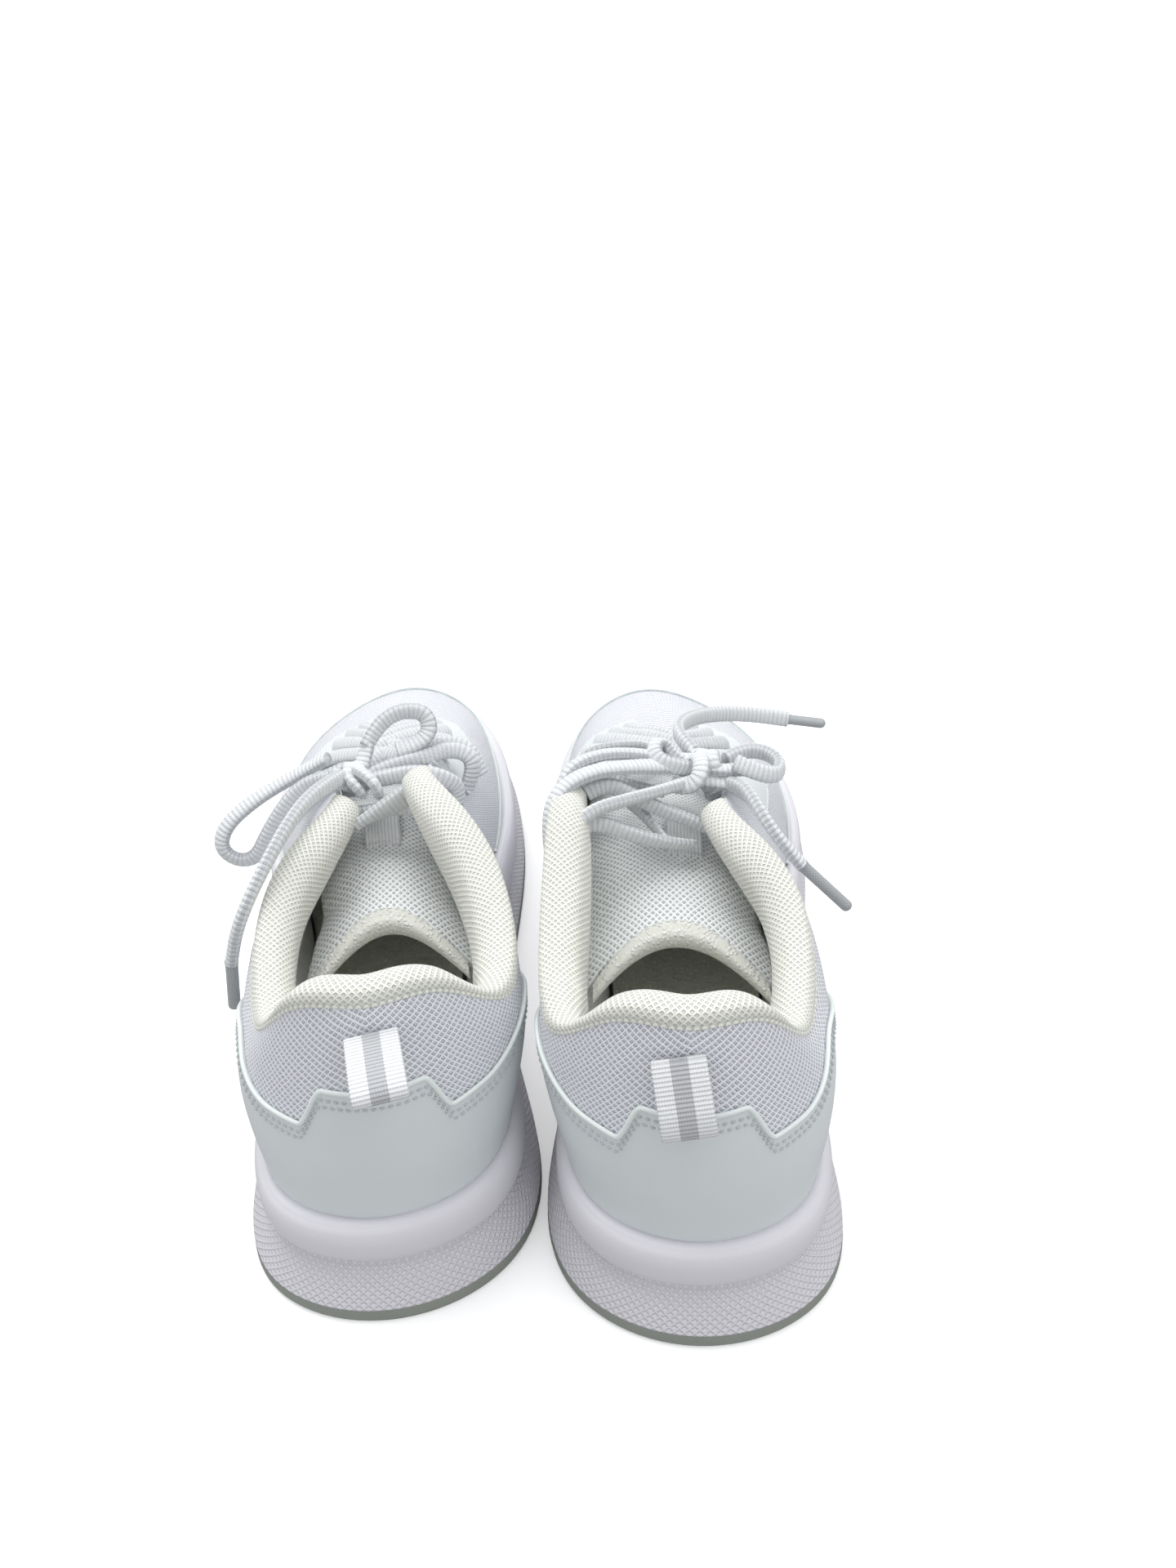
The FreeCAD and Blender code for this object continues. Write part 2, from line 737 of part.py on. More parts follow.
AGLETS = {
    "right_aglet_front": ((38.3, 168, 83.5), (49.5, 166.6, 82.6)),
    "right_aglet_side": ((33.3, 95.3, 77.9), (46.5, 91.2, 66)),
    "left_aglet_side": ((38.9, 68.8, 67.0), (41.5, 68.5, 51)),
}
# Middle of each knot, and the small loops that stand up out of it.
KNOT = {"right": (7, 122, 95.6), "left": (3, 118, 92.5)}
KNOT_RING = 4.6


def knot(side):
    """Tight ring of lace wrapped round the crossing of the bow."""
    centre = V(*KNOT[side])
    ring_solid = Part.makeTorus(KNOT_RING, LACE / 2, centre, V(0.9, 0.3, 0.3))
    core = Part.makeCylinder(2.6, 12, centre - V(6, 2, 2), V(0.9, 0.3, 0.3))
    return ring_solid.fuse(core)


SMALL_LOOPS = {
    "right": [
        (13, 127.5, 93.5), (18.5, 131.5, 94.5), (25.5, 131.5, 94), (30, 126.5, 93),
        (28, 120, 92.5), (21.5, 117.5, 95.5), (15, 118.5, 98.5),
    ],
    "left": [
        (-1, 123.5, 99.5), (-6.5, 130, 106.5), (-20.5, 131, 106.5),
        (-20.5, 125.6, 97.6), (-10, 123.4, 97),
    ],
}


# ---------------------------------------------------------------- the pair
def placed(shape, side):
    """Shoe-frame shape put where it stands in the pair."""
    shape = shape.copy()
    if side == "left":
        shape = shape.mirror(V(0, 0, 0), V(1, 0, 0))
    sign = 1 if side == "right" else -1
    shape.rotate(V(0, 0, 0), V(0, 0, 1), -sign * TOE_OUT[side])
    shape.translate(V(sign * HEEL_SPACING / 2, 0 if side == "right" else LEFT_AHEAD, 0))
    shape.translate(V(-MIDDLE[0], -MIDDLE[1], 0))
    return shape


def shoe_pieces(side):
    pieces = {
        "outsole": outsole(),
        "midsole": midsole(),
        "insole_board": insole_piece(0.1, 0.1 + BOARD_THICK),
        "sockliner": insole_piece(0.2 + BOARD_THICK, 0.2 + BOARD_THICK + SOCKLINER_THICK),
        "upper_mesh": upper_mesh(),
        "heel_overlay": heel_overlay(),
        "toe_overlay": toe_overlay(),
        "eyestay_outer": eyestay(1),
        "eyestay_inner": eyestay(-1),
        "heel_counter": heel_counter(),
        "toe_puff": toe_puff(),
        "lining": lining(),
        "collar_lining": collar_lining(),
        "collar_foam": collar_foam(),
        "tongue_root": tongue_root(),
        "tongue_flap": tongue_flap(),
        "tongue_binding": tongue_binding(),
        "lace_keeper": lace_keeper(),
        "pull_loop": pull_loop(side),
        "laces": laced_part(side),
        "lace_knot": knot(side),
        "bow_loop_small": tube(SMALL_LOOPS[side], LACE, side + " small loop"),
    }
    named = {side + "_" + name: shape for name, shape in pieces.items()}
    for name, route in TAILS.items():
        if name.startswith(side):
            named[name] = tube(route, LACE, name)
    for name, ends in AGLETS.items():
        if name.startswith(side):
            named[name] = aglet(*ends)
    return named


def main():
    global UPPER, TONGUE_ROWS
    os.makedirs("parts", exist_ok=True)
    for side in ("left", "right"):
        UPPER = upper_poles(side)
        TONGUE_ROWS = TONGUE[side]
        for name, shape in shoe_pieces(side).items():
            shape = placed(shape, side)
            if not shape.isValid() or not shape.Solids:
                print("not a sound solid:", name)
            shape.exportStep("parts/" + name + ".step")
        marks = {
            "heel loop axis": loop_axis(side),
            "tongue crease": tongue_point(0, HINGE_Y + TONGUE_GAP / 2, True),
        }
        for what, point in marks.items():
            print(side, what, placed(Part.Vertex(point), side).Point)


if __name__ == "__main__":
    main()
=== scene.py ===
"""Looks for a pair of white cheer trainers: cloth, film, foam, rubber, webbing and laces built
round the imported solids.  Shapes are worked out in each shoe's own frame, in millimetres: x toward
the little toe, y toward the toe, z up from the ground under the back of the heel.
"""

import math

import bpy
import numpy as np
from mathutils import Matrix, Vector


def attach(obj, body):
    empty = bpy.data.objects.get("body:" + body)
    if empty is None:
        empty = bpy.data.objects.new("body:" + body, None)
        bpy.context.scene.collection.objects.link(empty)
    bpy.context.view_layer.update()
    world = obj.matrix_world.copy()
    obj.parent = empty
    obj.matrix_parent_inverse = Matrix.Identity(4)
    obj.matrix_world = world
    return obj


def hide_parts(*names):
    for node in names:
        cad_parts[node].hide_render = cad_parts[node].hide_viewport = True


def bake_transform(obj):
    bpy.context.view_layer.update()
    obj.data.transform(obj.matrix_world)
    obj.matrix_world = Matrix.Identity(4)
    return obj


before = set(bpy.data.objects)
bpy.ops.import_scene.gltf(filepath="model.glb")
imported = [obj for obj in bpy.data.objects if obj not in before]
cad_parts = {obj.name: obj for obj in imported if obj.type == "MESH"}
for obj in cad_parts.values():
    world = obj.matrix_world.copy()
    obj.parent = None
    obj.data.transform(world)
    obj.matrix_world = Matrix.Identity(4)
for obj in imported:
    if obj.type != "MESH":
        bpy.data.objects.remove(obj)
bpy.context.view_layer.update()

# ---- dimensions shared with the solids
SOLE_LENGTH = 280.0
TOE_OUT = {"right": 4.4, "left": 5.0}
HEEL_SPACING = 77.0
LEFT_AHEAD = 12.4
MIDDLE = (-1.08, 145.05)
OUTSOLE_THICK = 4.5
TOE_SPRING = 12.0
SPRING_START = 185.0
SKIN_INSET = 9.5
MESH_THICK = 2.3
OVERLAY_THICK = 0.9
LAYER_GAP = 0.1
COLLAR_END = 4.15
HINGE_Y = 98.0
TONGUE_START = 186.0
TONGUE_END = 77.5
TONGUE_CORNER = 13.0
BINDING_WIDTH = 4.8
LOOP_WIDTH = 12.5
LOOP_THICK = 1.15
LOOP_STANDOFF = 2.4
LOOP_HEIGHT = 86.5
LOOP_ANGLE = {"right": -58.0, "left": -5.0}
LOOP_TILT = {"right": 8.0, "left": -8.0}
LOOP_SHIFT = {"right": -2.5, "left": -0.9}
KEEPER_FRONT = 121.0
KEEPER_BACK = 107.0
KEEPER_WIDTH = 11.0
KEEPER_X = {"right": 0.0, "left": -3.0}
STATIONS = 16
SOLE = [
    (0, 0), (30, 11.5), (40, 44), (38.5, 95), (45, 140), (52.5, 185), (50.5, 225),
    (30.5, 258), (-8, 280), (-39, 259), (-49, 222), (-48.5, 180), (-42, 138), (-36.5, 92),
    (-40, 44), (-30, 11.5),
]
TOP = [
    (-3.5, 18.5, 94), (15, 25, 89.5), (28.5, 41, 71.5), (28.5, 78, 81), (12, 104, 91),
    (14, 136, 82), (12, 166, 72), (6, 185, 65), (-4, 191, 62.5), (-15, 186, 64.5),
    (-22, 167, 73), (-25.5, 136, 86), (-29.2, 106, 96.5), (-37.5, 78, 84.5),
    (-38, 41, 72.5), (-22, 25, 89.5),
]
SWEEP = [
    (24, 4, 1, -7, -24), (24, 4, 6, -4, -24), (22, 6, 11, 0, -16), (20, 5, 9, 1, -18),
    (24, 5, 14, 8, -18), (22, 5, 16, 11, -12), (21, 5, 15, 18, -7), (24.5, 8, 9, 30, -7),
    (24.5, 9, 0, 38, -5), (24.5, 8, -9, 30, -7), (20, 5, -13, 17, -8), (22, 4, -12, 11, -13),
    (22, 5, -7, 8, -20), (20, 5, -1.5, 0, -18), (22, 6, -4, 0, -16), (24, 4, -4, -4, -24),
]
SPREAD = {3: 1, 4: 1.2, 5: 1.5, 6: 1, 10: -1.5, 11: -4, 12: -8.4, 13: -2}
HEEL_FLARE = ((10, 2.8), (95, 0.6))
HEEL_CAP_EDGE = ((0.5, 72), (0.76, 60.5), (1.15, 60.5), (2.1, 65), (3.5, 33))
HEEL_CAP_REACH = 3.45     # stations each way from the back seam
BACK_SEAM = (72, 84)      # heights of its ends
TOE_CAP_EDGE = ((4.4, 0.24), (8, 0.42), (11.6, 0.24))
EYESTAY_WIDTH = ((4.5, 31), (7.4, 16))
LACE_ROWS = (4.75, 5.35, 5.95, 6.5, 7.0)
COLLAR_ROLL = [
    (0, 0.3), (0.9, 2.2), (0.2, 5.0), (-3.6, 6.6), (-7.6, 5.2), (-9.8, 1.0), (-10.4, -5),
    (-10.0, -13), (-8.6, -22), (-6.4, -30), (-3.9, -37),
]
TONGUE = {
    "right": [
        (186, -4, 55, 16, 3, 3), (166, -4, 62.5, 23, 5, 3.5), (142, -5.5, 70.5, 26, 7, 4),
        (120, -6.5, 75, 25, 8, 5), (99, -5.4, 73.5, 23.4, 8, 6), (90, -4.8, 71, 22.4, 8, 6),
        (82, -3.5, 68.5, 23.4, 7, 6), (66, -2.4, 62, 24.7, 6, 5),
    ],
    "left": [
        (186, -4, 55, 15, 3, 3), (166, -3, 62.5, 21, 5, 3.5), (142, -2.5, 70.5, 22, 7, 4),
        (120, -2.7, 75, 19.8, 8, 5), (99, -3.3, 73.5, 18.3, 8, 6), (90, -3.8, 71, 17.6, 8, 6),
        (82, -3.7, 68.5, 19.3, 7, 6), (66, -3.7, 62, 22.4, 6, 5),
    ],
}
TAILS = {
    "right_lace_tail_front": [
        (3.5, 128, 96), (-0.5, 133.5, 98), (-1, 141, 97), (2, 150.5, 94), (7.5, 158.5, 91),
        (14.5, 164, 88.5), (22, 167, 86.5), (30, 168, 85), (38, 168, 83.5),
    ],
    "right_lace_tail_side": [
        (12.5, 118, 91.5), (16.5, 113.8, 93.4), (19, 109, 93), (21.5, 103.8, 91), (24.4, 100, 87.6),
        (28.6, 97.2, 83), (33, 95.4, 78.2),
    ],
    "left_lace_tail_side": [
        (6.5, 112, 96.5), (10.5, 104, 99.2), (15.5, 96, 99.4), (20, 88.5, 97.2), (24, 81.6, 93.8),
        (27.6, 76, 90), (31, 71.6, 85.6), (34.2, 69.6, 80), (36.8, 69.2, 73.8), (38.8, 68.8, 67.4),
    ],
    "left_bow_loop": [
        (10, 119, 92.2), (15.5, 121.4, 90.4), (21.5, 121.8, 87), (27, 120.4, 81.8),
        (33, 118.6, 74), (37.6, 117.2, 66.6), (43.6, 116.9, 65.8), (48.6, 118.2, 70.8),
        (45.4, 120.4, 78), (36.5, 124.2, 83.2), (28, 128, 86), (19.5, 129.2, 89.4), (12, 127.6, 94),
    ],
    "right_bow_loop_small": [
        (13, 127.5, 93.5), (18.5, 131.5, 94.5), (25.5, 131.5, 94), (30, 126.5, 93),
        (28, 120, 92.5), (21.5, 117.5, 95.5), (15, 118.5, 98.5),
    ],
    "left_bow_loop_small": [
        (-1, 123.5, 99.5), (-6.5, 130, 106.5), (-20.5, 131, 106.5),
        (-20.5, 125.6, 97.6), (-10, 123.4, 97),
    ],
}
FREE_LACES = {          # length in metres, what the far end meets, twist in radians
    "right_lace_tail_front": (0.0686, "fitting", 0.0),
    "right_lace_tail_side": (0.0369, "fitting", 0.8),
    "left_lace_tail_side": (0.0712, "fitting", 0.9),
    "left_bow_loop": (0.0979, "object", 1.2),
    "right_bow_loop_small": (0.0405, "object", 0.6),
    "left_bow_loop_small": (0.0416, "object", 0.6),
}
AGLETS = {
    "right_aglet_front": ((38.3, 168, 83.5), (49.5, 166.6, 82.6)),
    "right_aglet_side": ((33.3, 95.3, 77.9), (46.5, 91.2, 66)),
    "left_aglet_side": ((38.9, 68.8, 67.0), (41.5, 68.5, 51)),
}
TO_KNOT = {
    "right": [
        [(-38.5, 93, 84), (-39.5, 94.5, 93), (-36.9, 101, 101), (-28, 107, 103.5),
         (-16.6, 113, 101), (-5, 118.5, 97.5), (4, 121, 96.5)],
        [(-37.5, 101, 84), (-37.5, 104.5, 95), (-33.8, 109.9, 103), (-25.8, 115, 104),
         (-16.5, 119.5, 101.7), (-6, 122.5, 98), (4, 124, 96)],
        [(-36, 88, 80), (-34, 91, 92), (-28, 96.2, 97.4), (-16.7, 103.1, 96.4), (-5, 110.9, 94.6),
         (4.6, 117.6, 93.8)],
    ],
    "left": [
        [(1, 118, 92), (-8, 120.5, 93.5), (-17, 122.5, 94), (-26, 127, 93.5), (-32, 126.5, 91),
         (-33, 125, 86), (-30, 124, 80)],
        [(0, 115, 92), (-10, 114.5, 94), (-18.5, 112.5, 94.8), (-24, 112, 92.5), (-28, 114, 87),
         (-26.5, 113, 82)],
    ],
}
LOOSE = {
    "right": [
        [(-31, 128, 84), (-29.5, 131.5, 92), (-26.5, 131.5, 95), (-17.6, 131, 97),
         (-10.3, 130.5, 97.3), (-3, 126, 97)],
        [(-29, 124, 88), (-24.4, 122.3, 92), (-15.6, 118.1, 90.3), (-6, 115.8, 90)],
        [(-30, 99, 90), (-25.9, 99.4, 91.5), (-16.8, 98, 88.1), (-5.9, 99.8, 83), (2, 103, 80)],
        [(-29, 108, 95), (-23.6, 110.6, 97.5), (-14.4, 109.3, 92.8), (-7.4, 107.7, 89.5),
         (0.8, 107.3, 86), (11, 105.5, 82)],
        [(-17, 118, 86), (-14.2, 114, 86), (-10.2, 107.5, 85), (-5.5, 102, 82)],
    ],
    "left": [
        [(-14, 130, 91), (-16.5, 132.1, 93), (-23.6, 131.8, 93), (-28.9, 131.8, 92),
         (-33.4, 130.2, 89), (-35.2, 128, 82)],
        [(-19, 108, 95), (-14.7, 106.6, 94.4), (-6.9, 103.5, 91), (3.5, 101, 86)],
        [(-20, 109, 92), (-15, 106, 91.5), (-7, 104.5, 88.5), (2, 104, 85)],
        [(-22, 107, 84), (-16.3, 105, 87), (-8.2, 106.6, 87.4), (0, 107.4, 86.4), (10, 110, 84)],
    ],
}
WRAPS = {
    "right": [
        [(2, 119, 96), (-2, 117.5, 98), (-6.5, 117, 99.6), (-9, 119.5, 101.3), (-8.4, 123, 102.8),
         (-5.6, 124.6, 102),
         (-3.4, 122.5, 99), (1, 120.5, 97)],
        [(3.5, 126, 95), (4.2, 121, 99.6), (5, 115.6, 100.4), (4, 111.5, 97.6), (0.6, 112, 94),
         (-3, 116, 92.5)],
        [(8, 120, 93), (5.5, 124.5, 97.5), (3.5, 128.5, 96.2)],
        [(1, 121, 94), (8, 119, 96), (14, 119.5, 95), (18, 121, 94.5)],
        [(0, 118, 93), (7, 116, 93.5), (12.5, 117.6, 92)],
    ],
    "left": [
        [(9, 121, 91.5), (7.6, 117.5, 94.4), (5, 113, 95.6), (2.2, 109.6, 94), (1, 110.5, 91)],
        [(3, 121, 92.5), (1.8, 116, 96), (-1.6, 111, 96.4), (-4, 108.6, 93.8), (-3.6, 111, 90.6)],
        [(2, 117, 93), (0, 120.5, 96.5), (-1.5, 124, 99.8)],
        [(-2, 118, 92), (4, 120.5, 94.6), (10, 120.5, 92.6), (13, 120.6, 91.2)],
        [(2, 119, 91), (5, 114, 95), (7, 111, 96.8)],
    ],
}
KNOT = {"right": (7, 122, 95.6), "left": (3, 118, 92.5)}
LACE_WIDE = 5.0
LACE_FLAT = 3.4
RIB_PITCH = 1.5
DIAMOND = 2.6
LOW_SAG, HIGH_SAG = 1.0, 3.6
UP = np.array([0.0, 0.0, 1.0])
RIGHTWARD = np.array([1.0, 0.0, 0.0])


# ---- curves
def loop_poles(points):
    """Poles of the closed, evenly stepped cubic through the points."""
    points = np.array(points, float)
    poles = points.copy()
    for _ in range(30):
        for i in range(len(points)):
            poles[i] = (6 * points[i] - poles[i - 1] - poles[(i + 1) % len(points)]) / 4
    return poles


def on_loop(poles, s):
    """Points of the closed curve at stations s; station k is near point k."""
    s = np.asarray(s, float)
    first = np.floor(s).astype(int)
    t = (s - first)[..., None]
    weights = (
        (1 - t) ** 3 / 6, (3 * t ** 3 - 6 * t ** 2 + 4) / 6,
        (-3 * t ** 3 + 3 * t ** 2 + 3 * t + 1) / 6, t ** 3 / 6,
    )
    return sum(w * poles[(first + k - 1) % len(poles)] for k, w in enumerate(weights))


def eased(keys, x):
    """Value at x between (position, value) keys, level at each key."""
    x = np.asarray(x, float)
    value = np.full(x.shape, float(keys[0][1]))
    for (x0, v0), (x1, v1) in zip(keys, keys[1:]):
        t = np.clip((x - x0) / (x1 - x0), 0, 1)
        value = value + (v1 - v0) * t * t * (3 - 2 * t)
    return value


def unit(vectors):
    return vectors / np.maximum(np.linalg.norm(vectors, axis=-1, keepdims=True), 1e-9)


def linked(name, data):
    """A new object in the scene that carries the data."""
    holder = bpy.data.objects.new(name, data)
    bpy.context.scene.collection.objects.link(holder)
    return holder


def smooth_path(points, spacing):
    """Points close together along the order 3 NURBS of a route, as Blender draws it."""
    curve = bpy.data.curves.new("route", "CURVE")
    curve.dimensions = "3D"
    curve.resolution_u = 24
    spline = curve.splines.new("NURBS")
    spline.points.add(len(points) - 1)
    for point, place in zip(spline.points, points):
        point.co = (*place, 1.0)
    spline.order_u = 3
    spline.use_endpoint_u = True
    holder = linked("route", curve)
    bpy.context.view_layer.update()
    drawn = bpy.data.meshes.new_from_object(holder)
    line = np.array([v.co for v in drawn.vertices], float)
    bpy.data.objects.remove(holder)
    bpy.data.curves.remove(curve)
    bpy.data.meshes.remove(drawn)
    return evenly(line, spacing)


def run_along(points):
    """Length run from the first of the points, or of the rows of points, to each of them."""
    steps = np.linalg.norm(np.diff(points, axis=0), axis=-1)
    return np.concatenate([np.zeros((1,) + steps.shape[1:]), np.cumsum(steps, axis=0)])


def places_on(line, run, along):
    return np.stack([np.interp(along, run, line[:, k]) for k in range(3)], axis=1)


def evenly(line, spacing):
    """The same line with its points an even distance apart."""
    line = np.asarray(line, float)
    run = run_along(line)
    count = max(2, int(round(run[-1] / spacing)))
    return places_on(line, run, np.linspace(0, run[-1], count + 1))


# ---- heights along the sole
def ground(y):
    beyond = np.maximum(0.0, np.asarray(y, float) - SPRING_START) / (SOLE_LENGTH - SPRING_START)
    return TOE_SPRING * beyond ** 2


def outsole_top(y):
    return OUTSOLE_THICK + ground(y)


def groove(y):
    return eased(((60, 18.5), (190, 12.5)), y) + ground(y)


def rim(y):
    return eased(((0, 31), (50, 31.5), (115, 35), (215, 23.5)), y) + ground(y)


def cup_floor(y):
    return eased(((60, 20), (190, 12)), y) + ground(y)


def raised(height, by):
    return lambda y: height(y) + by


def part_way(low, high, share):
    return lambda y: low(y) + (high(y) - low(y)) * share


# ---- one shoe's surfaces
class Shoe:
    """The surfaces of one shoe, and the way from its own frame to the pair's."""

    def __init__(self, side):
        self.side = side
        self.sign = 1 if side == "right" else -1
        rows = []
        for k in range(STATIONS):
            top = (TOP[k][0] + self.sign * SPREAD.get(k, 0),) + TOP[k][1:]
            rows.append(SOLE[k] + top + SWEEP[k])
        self.poles = loop_poles(rows)

    def outward(self, s):
        step = on_loop(self.poles, s + 0.02) - on_loop(self.poles, s - 0.02)
        return unit(np.stack([step[..., 1], -step[..., 0], 0 * step[..., 0]], axis=-1))

    def sole(self, s, inset, height, flare=0.0):
        s = np.asarray(s, float)
        outline = on_loop(self.poles, s)[..., :2]
        away = self.outward(s)
        spread = flare * eased(HEEL_FLARE, outline[..., 1]) * (0.75 + 0.25 * away[..., 0])
        point = np.concatenate([outline, np.zeros(s.shape + (1,))], axis=-1)
        point = point - away * (inset - spread)[..., None]
        point[..., 2] = height(point[..., 1])
        return point

    def bare(self, s, h):
        """Outer skin at station s, a share h of the way up from the foot to the top edge."""
        row = on_loop(self.poles, s)
        top = row[..., 2:5]
        foot = self.sole(s, SKIN_INSET, cup_floor)
        low = foot + self.outward(s) * row[..., 6:7] + UP * row[..., 5:6]
        high = top + row[..., 7:10]
        h = np.asarray(h, float)[..., None]
        g = 1 - h
        return foot * g ** 3 + low * (3 * g * g * h) + high * (3 * g * h * h) + top * h ** 3

    def normal(self, s, h):
        step = 0.01
        along = self.bare(s + step, h) - self.bare(s - step, h)
        rising = self.bare(s, h + step) - self.bare(s, h - step)
        return unit(np.cross(along, rising))

    def skin(self, s, h, lift=0.0):
        s, h = np.broadcast_arrays(np.asarray(s, float), np.asarray(h, float))
        return self.bare(s, h) + self.normal(s, h) * np.asarray(lift)[..., None]

    def wall(self, s):
        """Length of the wall from foot to top edge."""
        s = np.asarray(s, float)
        points = [self.bare(s, h) for h in np.linspace(0, 1, 9)]
        return sum(np.linalg.norm(b - a, axis=-1) for a, b in zip(points, points[1:]))

    def at(self, s, rise, lift):
        """Point a distance above (or below) the top edge, lifted off the skin."""
        s, rise, lift = np.broadcast_arrays(
            np.asarray(s, float), np.asarray(rise, float), np.asarray(lift, float))
        below = np.minimum(rise, 0)
        point = self.skin(s, 1 + below / self.wall(s), lift)
        beyond = unit(self.bare(s, 1.0) - self.bare(s, 0.97))
        return point + beyond * np.maximum(rise, 0)[..., None]

    def h_at(self, s, z):
        """Share of the wall at which it reaches height z."""
        s, z = np.broadcast_arrays(np.asarray(s, float), np.asarray(z, float))
        low = np.zeros(s.shape)
        high = np.ones(s.shape)
        for _ in range(20):
            middle = (low + high) / 2
            below = self.bare(s, middle)[..., 2] < z
            low = np.where(below, middle, low)
            high = np.where(below, high, middle)
        return low

    def pair(self, points):
        """From the shoe's frame in millimetres to the pair's frame in metres."""
        points = np.asarray(points, float) * np.array([self.sign, 1, 1])
        turn = math.radians(TOE_OUT[self.side])
        x = points[..., 0] * math.cos(turn) + self.sign * points[..., 1] * math.sin(turn)
        y = -self.sign * points[..., 0] * math.sin(turn) + points[..., 1] * math.cos(turn)
        x = x + self.sign * HEEL_SPACING / 2 - MIDDLE[0]
        y = y + (0 if self.side == "right" else LEFT_AHEAD) - MIDDLE[1]
        return np.stack([x, y, points[..., 2]], axis=-1) / 1000

    def name(self, what):
        return self.side + "_" + what


# ---- meshes
def mesh_object(name, points, faces, uvs=None, flip=False, smooth=True, period=None):
    """uvs: one (u, v) for each vertex; u starts again after each period."""
    if flip:
        faces = [face[::-1] for face in faces]
    mesh = bpy.data.meshes.new(name)
    mesh.from_pydata([tuple(p) for p in points], [], faces)
    if uvs is not None:
        layer = mesh.uv_layers.new(name="UVMap")
        corners = np.empty(len(mesh.loops), int)
        mesh.loops.foreach_get("vertex_index", corners)
        uvs = np.asarray(uvs, float)[corners]
        if period:
            sizes = np.array([len(face) for face in faces])
            first = np.repeat(uvs[np.cumsum(sizes) - sizes, 0], sizes)
            uvs[:, 0] += period * np.round((first - uvs[:, 0]) / period)
        layer.data.foreach_set("uv", uvs.ravel())
    mesh.polygons.foreach_set("use_smooth", [smooth] * len(mesh.polygons))
    mesh.update()
    return linked(name, mesh)


def grid_faces(rows, columns, start=0, wrap_rows=False, wrap_columns=False):
    faces = []
    for i in range(rows if wrap_rows else rows - 1):
        for j in range(columns if wrap_columns else columns - 1):
            a = start + i * columns + j
            b = start + i * columns + (j + 1) % columns
            c = start + (i + 1) % rows * columns + (j + 1) % columns
            d = start + (i + 1) % rows * columns + j
            faces.append((a, b, c, d))
    return faces


class Build:
    """Collects several grids into one piece."""

    def __init__(self):
        self.points = []
        self.faces = []
        self.uvs = []
        self.count = 0

    def grid(self, points, uv=None, wrap_rows=False, wrap_columns=False, caps=False, turn=False):
        points = np.asarray(points, float)
        rows, columns = points.shape[:2]
        faces = grid_faces(rows, columns, self.count, wrap_rows, wrap_columns)
        if turn:
            faces = [face[::-1] for face in faces]
        if caps:
            first = tuple(self.count + j for j in range(columns))
            last = tuple(self.count + (rows - 1) * columns + j for j in range(columns))
            faces += [first[::-1], last] if not turn else [first, last[::-1]]
        self.faces += faces
        self.points.append(points.reshape(-1, 3))
        if uv is None:
            uv = np.zeros((rows, columns, 2))
        self.uvs.append(np.asarray(uv, float).reshape(-1, 2))
        self.count += rows * columns
        return self

    def make(self, shoe, name, material, slot, body="shoe", period=None):
        points = shoe.pair(np.concatenate(self.points))
        piece = mesh_object(shoe.name(name), points, self.faces, np.concatenate(self.uvs),
                            flip=shoe.side == "left", period=period)
        piece.data.materials.append(material)
        if body:
            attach(piece, shoe.name(body))
        return piece


def thick(outer, inner, uv):
    """One closed skin round two matching grids."""
    return (np.concatenate([outer, inner[:, ::-1]], axis=1),
            np.concatenate([uv, uv[:, ::-1]], axis=1))


def oval(wide, flat, count=20, power=2.6):
    """Rounded oblong section; a power of 2 makes it an ellipse."""
    angle = np.linspace(0, 2 * math.pi, count, endpoint=False)
    c, s = np.cos(angle), np.sin(angle)
    x = np.sign(c) * np.abs(c) ** (2 / power) * wide / 2
    y = np.sign(s) * np.abs(s) ** (2 / power) * flat / 2
    return np.stack([x, y], axis=1)


def sweep(path, section, side, twist=0.0, swell=None):
    """Rings of a section carried along a path; side is where the section's x starts out."""
    heading = unit(np.gradient(path, axis=0))
    side = np.asarray(side, float)
    run = 0.0
    total = np.linalg.norm(np.diff(path, axis=0), axis=1).sum()
    rings, uvs = [], []
    around = np.arange(len(section)) / len(section)
    for i, (point, ahead) in enumerate(zip(path, heading)):
        side = side - ahead * side.dot(ahead)
        side = side / max(np.linalg.norm(side), 1e-9)
        if i:
            run += np.linalg.norm(path[i] - path[i - 1])
        turn = twist * run / total
        over = np.cross(ahead, side)
        x = side * math.cos(turn) + over * math.sin(turn)
        y = over * math.cos(turn) - side * math.sin(turn)
        size = 1.0 if swell is None else swell(run, total)
        rings.append(point + section[:, :1] * x * size + section[:, 1:] * y * size)
        uvs.append(np.stack([around, np.full(len(section), run)], axis=1))
    return np.array(rings), np.array(uvs)


